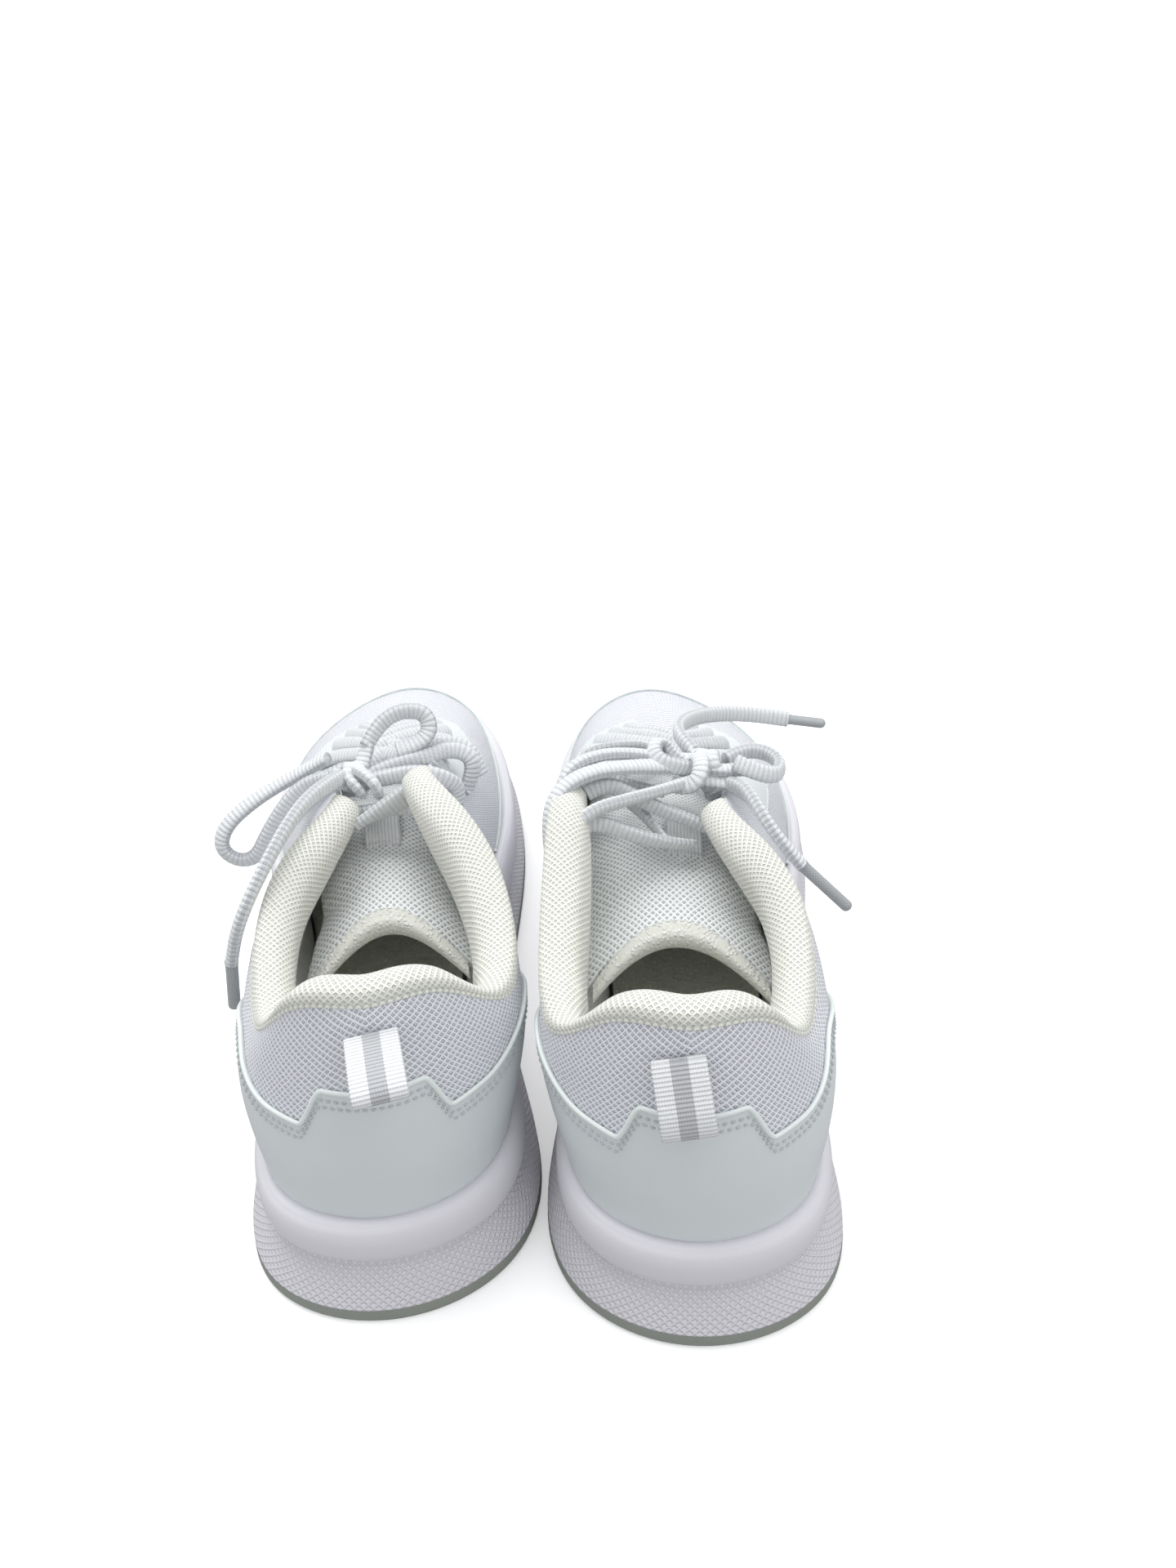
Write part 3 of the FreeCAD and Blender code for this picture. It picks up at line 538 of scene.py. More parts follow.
# ---- materials
class Look:
    """A node material built up step by step."""

    def __init__(self, name, colour, rough, **sockets):
        self.material = bpy.data.materials.new(name)
        self.material.use_nodes = True
        self.tree = self.material.node_tree
        self.shader = self.tree.nodes["Principled BSDF"]
        self.set("Base Color", (*colour, 1.0))
        self.set("Roughness", rough)
        for socket, value in sockets.items():
            self.set(socket.replace("_", " "), value)
        self.height = None

    def set(self, socket, value):
        self.feed(self.shader.inputs[socket], value)

    def node(self, kind, **settings):
        node = self.tree.nodes.new(kind)
        for key, value in settings.items():
            setattr(node, key, value)
        return node

    def feed(self, socket, value):
        if hasattr(value, "links"):
            self.tree.links.new(value, socket)
        else:
            socket.default_value = value

    def math(self, operation, a, b=0.0, c=0.0):
        node = self.node("ShaderNodeMath", operation=operation)
        for socket, value in zip(node.inputs, (a, b, c)):
            self.feed(socket, value)
        return node.outputs[0]

    def uv(self):
        split = self.node("ShaderNodeSeparateXYZ")
        self.feed(split.inputs[0], self.node("ShaderNodeTexCoord").outputs["UV"])
        return split.outputs[0], split.outputs[1]

    def place(self):
        return self.node("ShaderNodeTexCoord").outputs["Object"]

    def noise(self, scale, detail=2.0):
        node = self.node("ShaderNodeTexNoise")
        node.inputs["Scale"].default_value = scale
        node.inputs["Detail"].default_value = detail
        self.feed(node.inputs["Vector"], self.place())
        return node.outputs["Fac"]

    def ramp(self, value, low, high, start=0.0, end=1.0):
        node = self.node("ShaderNodeMapRange", interpolation_type="SMOOTHSTEP")
        for socket, given in (("Value", value), ("From Min", low), ("From Max", high),
                              ("To Min", start), ("To Max", end)):
            self.feed(node.inputs[socket], given)
        return node.outputs[0]

    def mix(self, share, a, b):
        node = self.node("ShaderNodeMix", data_type="RGBA")
        self.feed(node.inputs["Factor"], share)
        for socket, value in ((node.inputs[6], a), (node.inputs[7], b)):
            self.feed(socket, value if hasattr(value, "links") else (*value, 1.0))
        return node.outputs[2]

    def paint(self, share, a, b):
        self.set("Base Color", self.mix(share, a, b))

    def grain(self, scale, distance, detail=2.0):
        self.bump(self.noise(scale, detail), distance)

    def bump(self, height, distance):
        """Relief on top of the relief so far; the distance is in metres."""
        node = self.node("ShaderNodeBump")
        node.inputs["Strength"].default_value = 1.0
        node.inputs["Distance"].default_value = distance
        self.feed(node.inputs["Height"], height)
        if self.height is not None:
            self.feed(node.inputs["Normal"], self.height)
        self.height = node.outputs[0]
        self.set("Normal", self.height)

    def wave(self, value, pitch):
        """0 in the valleys to 1 on the ridges, one ridge each pitch."""
        turned = self.math("MULTIPLY", value, math.pi / pitch)
        return self.math("ABSOLUTE", self.math("SINE", turned))

    def lattice(self, u, v, wide, high):
        """0 in the middle of each rhombic hole to 1 on the strands."""
        across = self.math("DIVIDE", u, wide)
        along = self.math("DIVIDE", v, high)
        both = []
        for operation in ("ADD", "SUBTRACT"):
            part = self.math("FRACT", self.math(operation, across, along))
            off_middle = self.math("ABSOLUTE", self.math("SUBTRACT", part, 0.5))
            both.append(self.math("MULTIPLY", off_middle, 2.0))
        return self.math("MAXIMUM", both[0], both[1])


def shaded(colour, share):
    return tuple(share * c for c in colour)


def open_mesh(name, strand, hole, wide, high, edge=0.55, slant=0.0):
    """Sandwich mesh with rhombic holes, wide by high in millimetres; the holes are painted darker
    as painted shade.
    """
    look = Look(name, strand, 0.62, Sheen_Weight=0.25, Sheen_Roughness=0.5)
    u, v = look.uv()
    wobble = look.math("MULTIPLY", look.math("SUBTRACT", look.noise(260.0), 0.5), 0.5 * wide)
    u = look.math("ADD", u, wobble)
    if slant:
        v = look.math("ADD", v, look.math("MULTIPLY", look.math("ABSOLUTE", u), slant))
    strands = look.lattice(u, v, wide, high)
    body = look.ramp(strands, edge - 0.22, edge + 0.2)
    tint = look.mix(look.noise(45.0), strand, shaded(strand, 0.97))
    # painted shade: the holes take the darker hole colour
    look.paint(body, hole, tint)
    look.bump(body, 0.0004)
    look.grain(3500.0, 0.00008)
    return look.material


def smooth_film(name, colour, rough=0.42):
    look = Look(name, colour, rough, Coat_Weight=0.12, Coat_Roughness=0.35)
    look.paint(look.noise(30.0, 3.0), colour, shaded(colour, 0.955))
    look.set("Roughness", look.ramp(look.noise(80.0), 0.3, 0.7, rough - 0.05, rough + 0.08))
    look.grain(900.0, 0.00004, 3.0)
    look.grain(70.0, 0.0003)
    return look.material


def sole_foam():
    """White moulded foam: smooth on the rim, fine diamonds on the flare below the groove, their
    lines painted darker as painted shade.
    """
    white = (0.76, 0.75, 0.79)
    look = Look("sole_foam", white, 0.48)
    u, v = look.uv()
    diamonds = look.lattice(u, v, DIAMOND, 2.2)
    lower = look.ramp(v, 13.0, 14.2, 1.0, 0.0)
    relief = look.math("MULTIPLY", look.ramp(diamonds, 0.35, 0.95), lower)
    pale = look.mix(look.noise(25.0), white, (0.73, 0.72, 0.76))
    # painted shade: the diamond lines on the lower flare are darker
    look.paint(look.math("MULTIPLY", relief, 0.35), pale, (0.66, 0.65, 0.69))
    look.set("Roughness", look.ramp(look.noise(120.0), 0.3, 0.7, 0.42, 0.58))
    look.bump(relief, 0.00028)
    look.grain(1500.0, 0.00005, 3.0)
    return look.material


def rubber():
    grey = (0.28, 0.30, 0.27)
    look = Look("rubber", grey, 0.62)
    look.paint(look.noise(40.0, 4.0), grey, (0.34, 0.36, 0.32))
    look.grain(1200.0, 0.00012, 4.0)
    return look.material


def knit(name, colour, recess_shade, scale, relief=0.0002):
    """Close knit seen from nearby, laid out in space rather than along a sheet; the sunken edges of
    its cells are painted darker as painted shade.
    """
    look = Look(name, colour, 0.85, Sheen_Weight=0.3)
    cells = look.node("ShaderNodeTexVoronoi")
    cells.inputs["Scale"].default_value = scale
    look.feed(cells.inputs["Vector"], look.place())
    depth = look.ramp(cells.outputs["Distance"], 0.1, 0.55)
    # painted shade: the sunken cell edges take the darker colour
    look.paint(depth, colour, recess_shade)
    look.bump(look.math("SUBTRACT", 1.0, depth), relief)
    return look.material


def collar_cloth():
    """Spacer mesh: small open cells in staggered rows, over soft padding; the cells are painted
    darker as painted shade.
    """
    cream = (0.88, 0.88, 0.82)
    look = Look("collar_cloth", cream, 0.85, Sheen_Weight=0.4, Sheen_Roughness=0.4)
    u, v = look.uv()
    cells = look.lattice(u, v, 1.7, 1.8)
    body = look.ramp(cells, 0.3, 0.72)
    tint = look.mix(look.noise(35.0), cream, (0.85, 0.86, 0.79))
    # painted shade: the open cells take the darker colour
    look.paint(body, (0.68, 0.68, 0.61), tint)
    look.bump(body, 0.00032)
    look.grain(2500.0, 0.0001)
    look.grain(120.0, 0.0004)
    return look.material


def lace_cloth():
    """Tubular braid: cross ribs with their valleys painted darker as painted shade, fine diagonal
    yarns, and along each edge a grey that is partly a grey yarn and partly painted shade.
    """
    white = (0.88, 0.90, 0.90)
    look = Look("lace_cloth", white, 0.78, Sheen_Weight=0.3)
    u, v = look.uv()
    ribs = look.wave(v, RIB_PITCH)
    yarns = look.lattice(look.math("MULTIPLY", u, 16.0), v, 1.0, 0.9)
    round_the_lace = look.math("MULTIPLY", u, 2 * math.pi)
    # the grey along each edge is partly a grey yarn and partly painted shade
    edge = look.ramp(look.math("ABSOLUTE", look.math("COSINE", round_the_lace)), 0.93, 0.985)
    speckle = look.ramp(look.wave(v, 0.65), 0.2, 0.8, 0.45, 1.0)
    grey = look.math("MULTIPLY", look.math("MULTIPLY", edge, speckle), 0.75)
    # painted shade: the valleys between the cross ribs are darker
    base = look.mix(look.math("MULTIPLY", ribs, 0.5), (0.68, 0.70, 0.72), white)
    look.paint(grey, base, (0.42, 0.44, 0.46))
    look.bump(ribs, 0.0002)
    look.bump(yarns, 0.00012)
    return look.material


def webbing(name, stripe):
    """Ribbed tape, with or without a grey stripe down its middle; the valleys between the ribs are
    painted darker as painted shade.
    """
    look = Look(name, (0.85, 0.86, 0.87), 0.72, Sheen_Weight=0.3)
    u, v = look.uv()
    ribs = look.wave(v, 1.0)
    yarn = look.wave(u, 0.6)
    # painted shade: the valleys between the ribs are darker, in the white and in the grey stripe
    # alike
    white = look.mix(ribs, (0.70, 0.71, 0.73), (0.88, 0.89, 0.90))
    if stripe:
        centre = look.ramp(look.math("ABSOLUTE", u), 1.9, 2.2, 1.0, 0.0)
        white = look.mix(centre, white, look.mix(ribs, (0.40, 0.41, 0.43), (0.56, 0.57, 0.59)))
    look.set("Base Color", white)
    look.bump(ribs, 0.00022)
    look.bump(yarn, 0.00008)
    return look.material


def thread(name, colour):
    look = Look(name, colour, 0.6, Sheen_Weight=0.2)
    look.paint(look.noise(600.0), colour, shaded(colour, 0.86))
    look.grain(4000.0, 0.00006)
    return look.material


def clear_sleeve():
    """Clear sleeve with the braid showing through."""
    look = Look("clear_sleeve", (0.34, 0.36, 0.37), 0.22, Coat_Weight=0.6, Coat_Roughness=0.1)
    u, v = look.uv()
    braid = look.lattice(look.math("MULTIPLY", u, 10.0), v, 1.0, 1.1)
    look.paint(braid, (0.26, 0.28, 0.29), (0.42, 0.44, 0.45))
    look.grain(300.0, 0.0001)
    return look.material


# the second colour of each mesh is the painted shade in its holes
MESH = open_mesh(
    "upper_mesh_cloth", (0.89, 0.90, 0.94), (0.58, 0.60, 0.67), 2.1, 1.9, slant=0.35)
TONGUE_MESH = open_mesh(
    "tongue_cloth", (0.88, 0.90, 0.90), (0.56, 0.59, 0.59), 2.0, 2.0, edge=0.5)
FILM = smooth_film("heel_film", (0.72, 0.76, 0.77))
TOE_FILM = smooth_film("toe_film", (0.74, 0.79, 0.77))
STAY_FILM = smooth_film("eyestay_film", (0.75, 0.79, 0.79), 0.5)
EDGE_FILM = smooth_film("film_edge", (0.82, 0.87, 0.85), 0.5)
SOLE_FOAM = sole_foam()
RUBBER = rubber()
COLLAR = collar_cloth()
LACE = lace_cloth()
LOOP_WEB = webbing("loop_webbing", True)
TAPE = webbing("keeper_tape", False)
THREAD = thread("stitch_thread", (0.80, 0.83, 0.84))
# stitch thread painted grey: painted shade round the stitches of the heel cap and back seam
THREAD_IN_PAINTED_SHADE = thread("shadow_thread", (0.55, 0.58, 0.59))
SLEEVE = clear_sleeve()
# painted light: the lining is coloured almost white to make up for the shade in the gaps round the
# tongue and collar
LINING = knit("lining_knit", (0.92, 0.93, 0.92), (0.80, 0.81, 0.80), 900.0)
# painted light: the sockliner is coloured much lighter than its dark olive cloth, to make up for
# the light that does not reach inside the shoe
SOCK = knit("sock_knit", (0.82, 0.83, 0.72), (0.70, 0.71, 0.61), 700.0)
BOARD = knit("board_fibre", (0.62, 0.60, 0.56), (0.5, 0.48, 0.44), 300.0)
BINDING = knit("binding_knit", (0.88, 0.88, 0.83), (0.72, 0.72, 0.66), 850.0, 0.00028)


# ---- pieces of a shoe
def upper(shoe):
    s = np.linspace(0, STATIONS, 561)
    h = np.linspace(0, 1, 57)
    ss, hh = np.meshgrid(s, h, indexing="ij")
    outer = shoe.skin(ss, hh)
    inner = shoe.skin(ss, hh, -MESH_THICK)
    middle = shoe.skin(s, 0.75)
    run = run_along(middle)
    period = run[-1]
    run = np.where(s > STATIONS / 2, run - period, run)
    wall = shoe.wall(s)
    uv = np.stack([np.broadcast_to(run[:, None], ss.shape), hh * wall[:, None]], axis=-1)
    build = Build()
    build.grid(*thick(outer, inner, uv), wrap_columns=True)
    piece = build.make(shoe, "upper", MESH, "mesh", period=period)
    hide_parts(shoe.name("upper_mesh"))


def collar_size(s):
    """How plump the collar is along its length."""
    return eased(((1.05, 0.9), (1.5, 0.6), (2.2, 1.2), (3.3, 1.2), (COLLAR_END, 0.95)), np.abs(s))


def collar(shoe):
    """Padded roll round the ankle, its cover lapped to the upper at the outer seam."""
    s = np.linspace(-COLLAR_END, COLLAR_END, 421)
    size = collar_size(s)
    rows = []
    for lift, rise in COLLAR_ROLL:
        if rise < 0.5:
            up = rise if rise > -3 else rise * np.minimum(1, 0.5 + size / 2)
        else:
            up = rise * size
        up = np.broadcast_to(up, s.shape)
        high = np.minimum(lift * size, 0.9)
        low = np.minimum(lift * size, -MESH_THICK - 0.2)
        rows.append(shoe.at(s, up, np.where(up > 0, high, low)))
    rows = np.array(rows)
    fine = spline_rows(rows, 8)
    drop = run_along(fine)
    uv = np.stack([np.broadcast_to(run_along(fine[20]), drop.shape), drop], axis=-1)
    inside = fine + (fine.mean(axis=0) - fine) * 0.1
    skins = thick(*(rows.transpose(1, 0, 2) for rows in (fine, inside, uv)))
    build = Build()
    build.grid(*skins, wrap_columns=True, caps=True, turn=True)
    piece = build.make(shoe, "collar", COLLAR, "collar_mesh")
    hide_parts(shoe.name("collar_lining"), shoe.name("collar_foam"))


def spline_rows(rows, per):
    """Rows of points with smooth rows worked in between them (Catmull-Rom)."""
    rows = np.asarray(rows, float)
    padded = np.concatenate([[2 * rows[0] - rows[1]], rows, [2 * rows[-1] - rows[-2]]])
    fine = []
    for i in range(len(rows) - 1):
        p0, p1, p2, p3 = padded[i:i + 4]
        for k in range(per):
            t = k / per
            fine.append(0.5 * (2 * p1 + (p2 - p0) * t + (2 * p0 - 5 * p1 + 4 * p2 - p3) * t * t
                               + (3 * p1 - p0 - 3 * p2 + p3) * t ** 3))
    fine.append(rows[-1])
    return np.array(fine)


def midsole(shoe):
    """Foam sole: a flared foot, the groove, the swelling wall, and the cup under the upper."""
    levels = [
        (0.3, outsole_top, 1), (0.5, raised(outsole_top, 1), 1),
        (1.9, part_way(outsole_top, groove, 0.42), 0.45),
        (4.6, part_way(outsole_top, groove, 0.85), 0), (5.4, groove, 0),
        (3.2, part_way(groove, rim, 0.06), 0), (2.4, part_way(groove, rim, 0.22), 0),
        (2.6, part_way(groove, rim, 0.6), 0), (3.6, part_way(groove, rim, 0.86), 0),
        (4.9, raised(rim, -0.4), 0), (5.4, rim, 0),
    ]
    s = np.linspace(0, STATIONS, 480, endpoint=False)
    rings = [shoe.sole(s, inset, height, flare) for inset, height, flare in levels]
    for h in (0.2, 0.1, 0.0):
        ring = shoe.skin(s, h, 0.3)
        if h == 0.2:
            ring[:, 2] = rim(ring[:, 1]) - 0.1
        rings.append(ring)
    centre = rings[-1].mean(axis=0) * 0.3 + rings[-1] * 0.7
    centre[:, 2] = cup_floor(centre[:, 1])
    rings.append(centre)
    outer = spline_rows(rings[:len(levels)], 5)
    walls = np.concatenate([outer, rings[len(levels):]])
    closed = np.concatenate([outer[0], outer[0][:1]])
    run = run_along(closed)
    period = round(run[-1] / DIAMOND) * DIAMOND
    drop = run_along(walls)
    foot = np.broadcast_to(run[:-1] * period / run[-1], drop.shape)
    uv = np.stack([foot, drop], axis=-1)
    build = Build()
    build.grid(walls, uv, wrap_columns=True, caps=True)
    piece = build.make(shoe, "midsole", SOLE_FOAM, "foam_sole", period=period)
    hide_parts(shoe.name("midsole"))


def bead(shoe, name, path, wide, flat, material, slot):
    """Raised edge or piping of an elliptical section along a path."""
    rings, uv = sweep(path, oval(wide, flat, 10, 2.0), (0, 0, 1))
    Build().grid(rings, uv, wrap_columns=True, caps=True).make(shoe, name, material, slot)


def stitches(shoe, name, lines, length, width, material, slot, body="shoe"):
    """Rows of short plump stitches; each line is (points, normals)."""
    build = Build()
    ring_count = 8
    shares = np.array([-1.0, -0.75, 0.0, 0.75, 1.0])
    girth = np.array([0.25, 0.8, 1.0, 0.8, 0.25])
    angle = np.linspace(0, 2 * math.pi, ring_count, endpoint=False)
    for points, normals in lines:
        heading = unit(np.gradient(points, axis=0))
        for point, normal, ahead in zip(points, normals, heading):
            side = np.cross(normal, ahead)
            rings = []
            for share, fat in zip(shares, girth):
                middle = point + ahead * share * length / 2
                middle = middle + normal * (0.12 - 0.3 * share ** 2) * width
                rings.append(middle + np.outer(np.cos(angle), side) * fat * width / 2
                             + np.outer(np.sin(angle), normal) * fat * width / 2)
            build.grid(rings, wrap_columns=True, caps=True)
    return build.make(shoe, name, material, slot, body)


def on_skin(shoe, s, h, lift, spacing):
    """Evenly spaced points on the skin along a line, with their normals."""
    points = shoe.skin(s, h, lift)
    run = run_along(points)
    along = np.arange(spacing / 2, run[-1], spacing)
    return places_on(points, run, along), unit(places_on(shoe.normal(s, h), run, along))


def heel_cap_trim(shoe):
    """Cut edge of the film round the heel, and the two rows of stitches below it."""
    s = np.linspace(-HEEL_CAP_REACH, HEEL_CAP_REACH, 500)
    h = shoe.h_at(s, eased(HEEL_CAP_EDGE, np.abs(s)))
    lift = LAYER_GAP + OVERLAY_THICK
    path = evenly(shoe.skin(s, h, lift - 0.1), 0.8)
    bead(shoe, "heel_cap_edge", path, 1.5, 1.2, EDGE_FILM, "film")
    wall = shoe.wall(s)
    rows = [on_skin(shoe, s, h - below / wall, lift + 0.05, 2.0) for below in (2.4, 4.3)]
    stitches(shoe, "heel_cap_stitches", rows, 1.3, 0.7, THREAD_IN_PAINTED_SHADE, "film")


def toe_cap_trim(shoe):
    s = np.linspace(4.45, 11.55, 400)
    h = eased(TOE_CAP_EDGE, s)
    lift = LAYER_GAP + OVERLAY_THICK
    path = evenly(shoe.skin(s, h, lift - 0.25), 1.0)
    bead(shoe, "toe_cap_edge", path, 1.0, 0.8, TOE_FILM, "film_green")


def eyestay_trim(shoe):
    """A row of stitches along each eyestay."""
    lines = []
    for sign in (1, -1):
        s = np.linspace(4.55, 7.35, 200)
        width = eased(EYESTAY_WIDTH, s)
        h = 1 - (width - 1.6) / shoe.wall(s * sign)
        lines.append(on_skin(shoe, s * sign, h, LAYER_GAP + OVERLAY_THICK + 0.02, 2.2))
    stitches(shoe, "eyestay_stitches", lines, 1.6, 0.5, THREAD, "film")


def collar_seam(shoe):
    """Overlocked edge where the collar cover meets the mesh."""
    s = np.linspace(-COLLAR_END, COLLAR_END, 500)
    path = evenly(shoe.at(s, 0.2, 0.0), 0.5)
    bead(shoe, "collar_piping", path, 1.1, 0.8, COLLAR, "collar_mesh")


def back_seam(shoe):
    """Ridge up the back of the heel, with a row of stitches on each side."""
    z = np.linspace(*BACK_SEAM, 60)
    s = np.zeros(z.shape)
    h = shoe.h_at(s, z)
    bead(shoe, "back_seam", evenly(shoe.skin(s, h, 0.15), 0.8), 1.2, 0.96, MESH, "mesh")
    lines = [on_skin(shoe, s + shift, h, 0.2, 2.3) for shift in (-0.035, 0.035)]
    stitches(shoe, "back_seam_stitches", lines, 1.5, 0.5, THREAD_IN_PAINTED_SHADE, "mesh")


def tongue_rows(side, y):
    """Middle x, top z, half width, drop of the sides and thickness of the tongue at y."""
    table = np.array(TONGUE[side], float)[::-1]
    return [np.interp(y, table[:, 0], table[:, k]) for k in range(1, 6)]


def tongue_face(side, u, y, top, plump=0.0):
    x, z, half, drop, deep = tongue_rows(side, y)
    z = z - drop * u * u
    if top:
        z = z + plump * (1 - u ** 4)
    else:
        z = z - deep * (1 - 0.4 * u * u)
    return np.stack([x + half * u, y, z], axis=-1)


def tongue(shoe):
    """Padded tongue, from the shoe to the free end."""
    u = np.linspace(-1, 1, 61)
    t = np.linspace(0, 1, 181)
    uu, tt = np.meshgrid(u, t, indexing="ij")
    end = TONGUE_END - TONGUE_CORNER * uu ** 2 + BINDING_WIDTH - 1.5
    yy = TONGUE_START + (end - TONGUE_START) * tt
    uu = uu * (1 + 0.13 * np.clip((118 - yy) / 20, 0, 1))
    folds = 0.35 * np.sin(yy * 0.35 + 2.2 * uu) * np.clip((yy - 100) / 30, 0, 1)
    outer = tongue_face(shoe.side, uu, yy, True, 0.6)
    outer[..., 2] += folds
    inner = tongue_face(shoe.side, uu, yy, False)
    uv = np.stack([outer[..., 0], yy], axis=-1)
    build = Build()
    build.grid(*thick(outer, inner, uv), wrap_columns=True, caps=True, turn=True)
    piece = build.make(shoe, "tongue", TONGUE_MESH, "tongue_mesh", None)
    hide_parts(shoe.name("tongue_root"), shoe.name("tongue_flap"))
    start = shoe.pair(np.array([-4, HINGE_Y + 9, 70.0]))
    finish = shoe.pair(np.array([-4, HINGE_Y - 7, 70.0]))
    start[2] = finish[2]
    shoe.name("shoe")
    shoe.name("tongue")
    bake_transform(piece)


def tongue_edge(shoe):
    """Cream binding rolled over the free end of the tongue."""
    u = np.linspace(-1, 1, 120)
    end = TONGUE_END - TONGUE_CORNER * u ** 2
    side = shoe.side
    deep = tongue_rows(side, end)[4] * (1 - 0.4 * u * u)
    low_inner = tongue_face(side, u, end + BINDING_WIDTH, False)
    low_inner[:, 2] -= 0.3
    middle = (tongue_face(side, u, end + 2.4, True) + tongue_face(side, u, end + 2.4, False)) / 2
    rows = [tongue_face(side, u, end + BINDING_WIDTH, True, 0.7),
            tongue_face(side, u, end + 3.6, True, 1.1)]
    for angle in np.linspace(math.pi * 0.5, math.pi * 1.5, 14):
        point = middle.copy()
        point[:, 1] += math.cos(angle) * 2.4
        point[:, 2] += math.sin(angle) * (deep / 2 + 0.5)
        rows.append(point)
    rows.append(low_inner)
    rows = np.array(rows)
    drop = run_along(rows)
    uv = np.stack([np.broadcast_to(u * 19, drop.shape), drop], axis=-1)
    build = Build().grid(rows, uv, wrap_rows=True)
    piece = build.make(shoe, "tongue_edge", BINDING, "binding", "tongue")
    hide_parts(shoe.name("tongue_binding"))
    points = evenly(tongue_face(side, u, end + BINDING_WIDTH - 0.6, True, 1.0), 2.0)
    line = (points, np.broadcast_to(UP, points.shape))
    stitches(shoe, "tongue_stitches", [line], 1.4, 0.5, THREAD, "binding", "tongue")


def keeper(shoe):
    """Flat tape bridge for the laces."""
    y = np.linspace(KEEPER_FRONT + 1.5, KEEPER_BACK - 1.5, 70)
    centre = KEEPER_X[shoe.side]
    x = np.linspace(centre - KEEPER_WIDTH / 2, centre + KEEPER_WIDTH / 2, 27)
    xx, yy = np.meshgrid(x, y, indexing="ij")
    middle, _, half, _, _ = tongue_rows(shoe.side, yy)
    base = tongue_face(shoe.side, (xx - middle) / half, yy, True)
    share = np.clip((KEEPER_FRONT - yy) / (KEEPER_FRONT - KEEPER_BACK), 0, 1)
    base[..., 2] += 0.7 + 3.9 * np.sin(math.pi * share) ** 0.8
    skins = thick(base + UP * 0.55, base - UP * 0.45, np.stack([yy, xx], axis=-1))
    build = Build().grid(*skins, wrap_columns=True, caps=True, turn=True)
    piece = build.make(shoe, "keeper", TAPE, "webbing")
    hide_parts(shoe.name("lace_keeper"))


def loop_axis(shoe):
    """Middle of the line on the heel that the loop swings about."""
    point = shoe.skin(0.0, shoe.h_at(0.0, LOOP_HEIGHT), LOOP_STANDOFF)
    return np.array([TOP[0][0] + LOOP_SHIFT[shoe.side], point[1], point[2]])


def pull_loop(shoe):
    """Ribbed webbing folded on itself and sewn at the root."""
    outline = [
        (-1.6, 1.3), (2, 2.0), (6, 2.5), (11, 2.9), (15.0, 2.1), (16.6, 0), (15.0, -2.1),
        (11, -2.9), (6, -2.5), (2, -2.0), (-1.6, -1.3),
    ]
    spacing = 0.22
    line = evenly(spline_rows([(0, -reach, up) for reach, up in outline], 12), spacing)
    outward = np.cross(unit(np.gradient(line, axis=0)), RIGHTWARD)
    run = np.arange(len(line)) * spacing
    across = np.linspace(-LOOP_WIDTH / 2, LOOP_WIDTH / 2, 31)
    rib = 0.1 * np.abs(np.sin(math.pi * run))
    edge = 0.25 * np.clip((np.abs(across) - LOOP_WIDTH / 2 + 0.6) / 0.6, 0, 1)
    lift = Matrix.Rotation(math.radians(-LOOP_ANGLE[shoe.side]), 3, "X")
    yaw = Matrix.Rotation(math.radians(LOOP_TILT[shoe.side]), 3, "Z")
    turn = np.array(lift) @ np.array(yaw)

    def face(raised_by):
        flat = line[:, None] + outward[:, None] * raised_by[..., None]
        return (flat + RIGHTWARD * across[None, :, None]) @ turn.T + loop_axis(shoe)

    uv = np.stack(np.broadcast_arrays(across, run[:, None]), axis=-1)
    skins = thick(face(rib[:, None] - edge), face(edge[None] - LOOP_THICK), uv)
    build = Build().grid(*skins, wrap_columns=True, caps=True)
    piece = build.make(shoe, "pull_webbing", LOOP_WEB, "loop_webbing", "pull_loop")
    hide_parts(shoe.name("pull_loop"))


def ribbed(run, total):
    """Swell of the lace at each of its cross ribs."""
    return 1 + 0.06 * abs(math.sin(math.pi * run / RIB_PITCH))


def strand(build, route, side=(0, 1, 0), twist=0.0, wide=LACE_WIDE, flat=LACE_FLAT):
    path = smooth_path(route, 0.33)
    rings, uv = sweep(path, oval(wide, flat), side, twist, ribbed)
    build.grid(rings, uv, wrap_columns=True, caps=True)
    return path


def crossing(shoe, start, end, sag):
    """Up out of one eyelet, over the edge of its stay, across, and under the other edge."""
    hole = shoe.at(start, -8, 0)
    rising = shoe.at(start, -7.4, 3.0)
    edge = shoe.at(start, 1.5, 3.6)
    far = shoe.at(end, 5.5, -1.2)
    under = shoe.at(end, 2.0, -6.0)
    middle = (edge + far) * 0.5 + UP * sag
    return [hole, rising, edge, middle, far, under]


def laces(shoe):
    build = Build()
    rows = LACE_ROWS[::-1]
    for low, high in zip(rows, rows[1:]):
        for start, end, sag in ((low, -high, LOW_SAG), (-low, high, HIGH_SAG)):
            strand(build, crossing(shoe, start, end, sag))
    for route in TO_KNOT[shoe.side]:
        strand(build, route, (0, 0, 1), 0.7)
    for route in LOOSE[shoe.side]:
        strand(build, route, (0, 0.4, 1), 0.9, 4.6, 2.6)
    piece = build.make(shoe, "lacing", LACE, "lace", period=1.0)
    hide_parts(shoe.name("laces"))


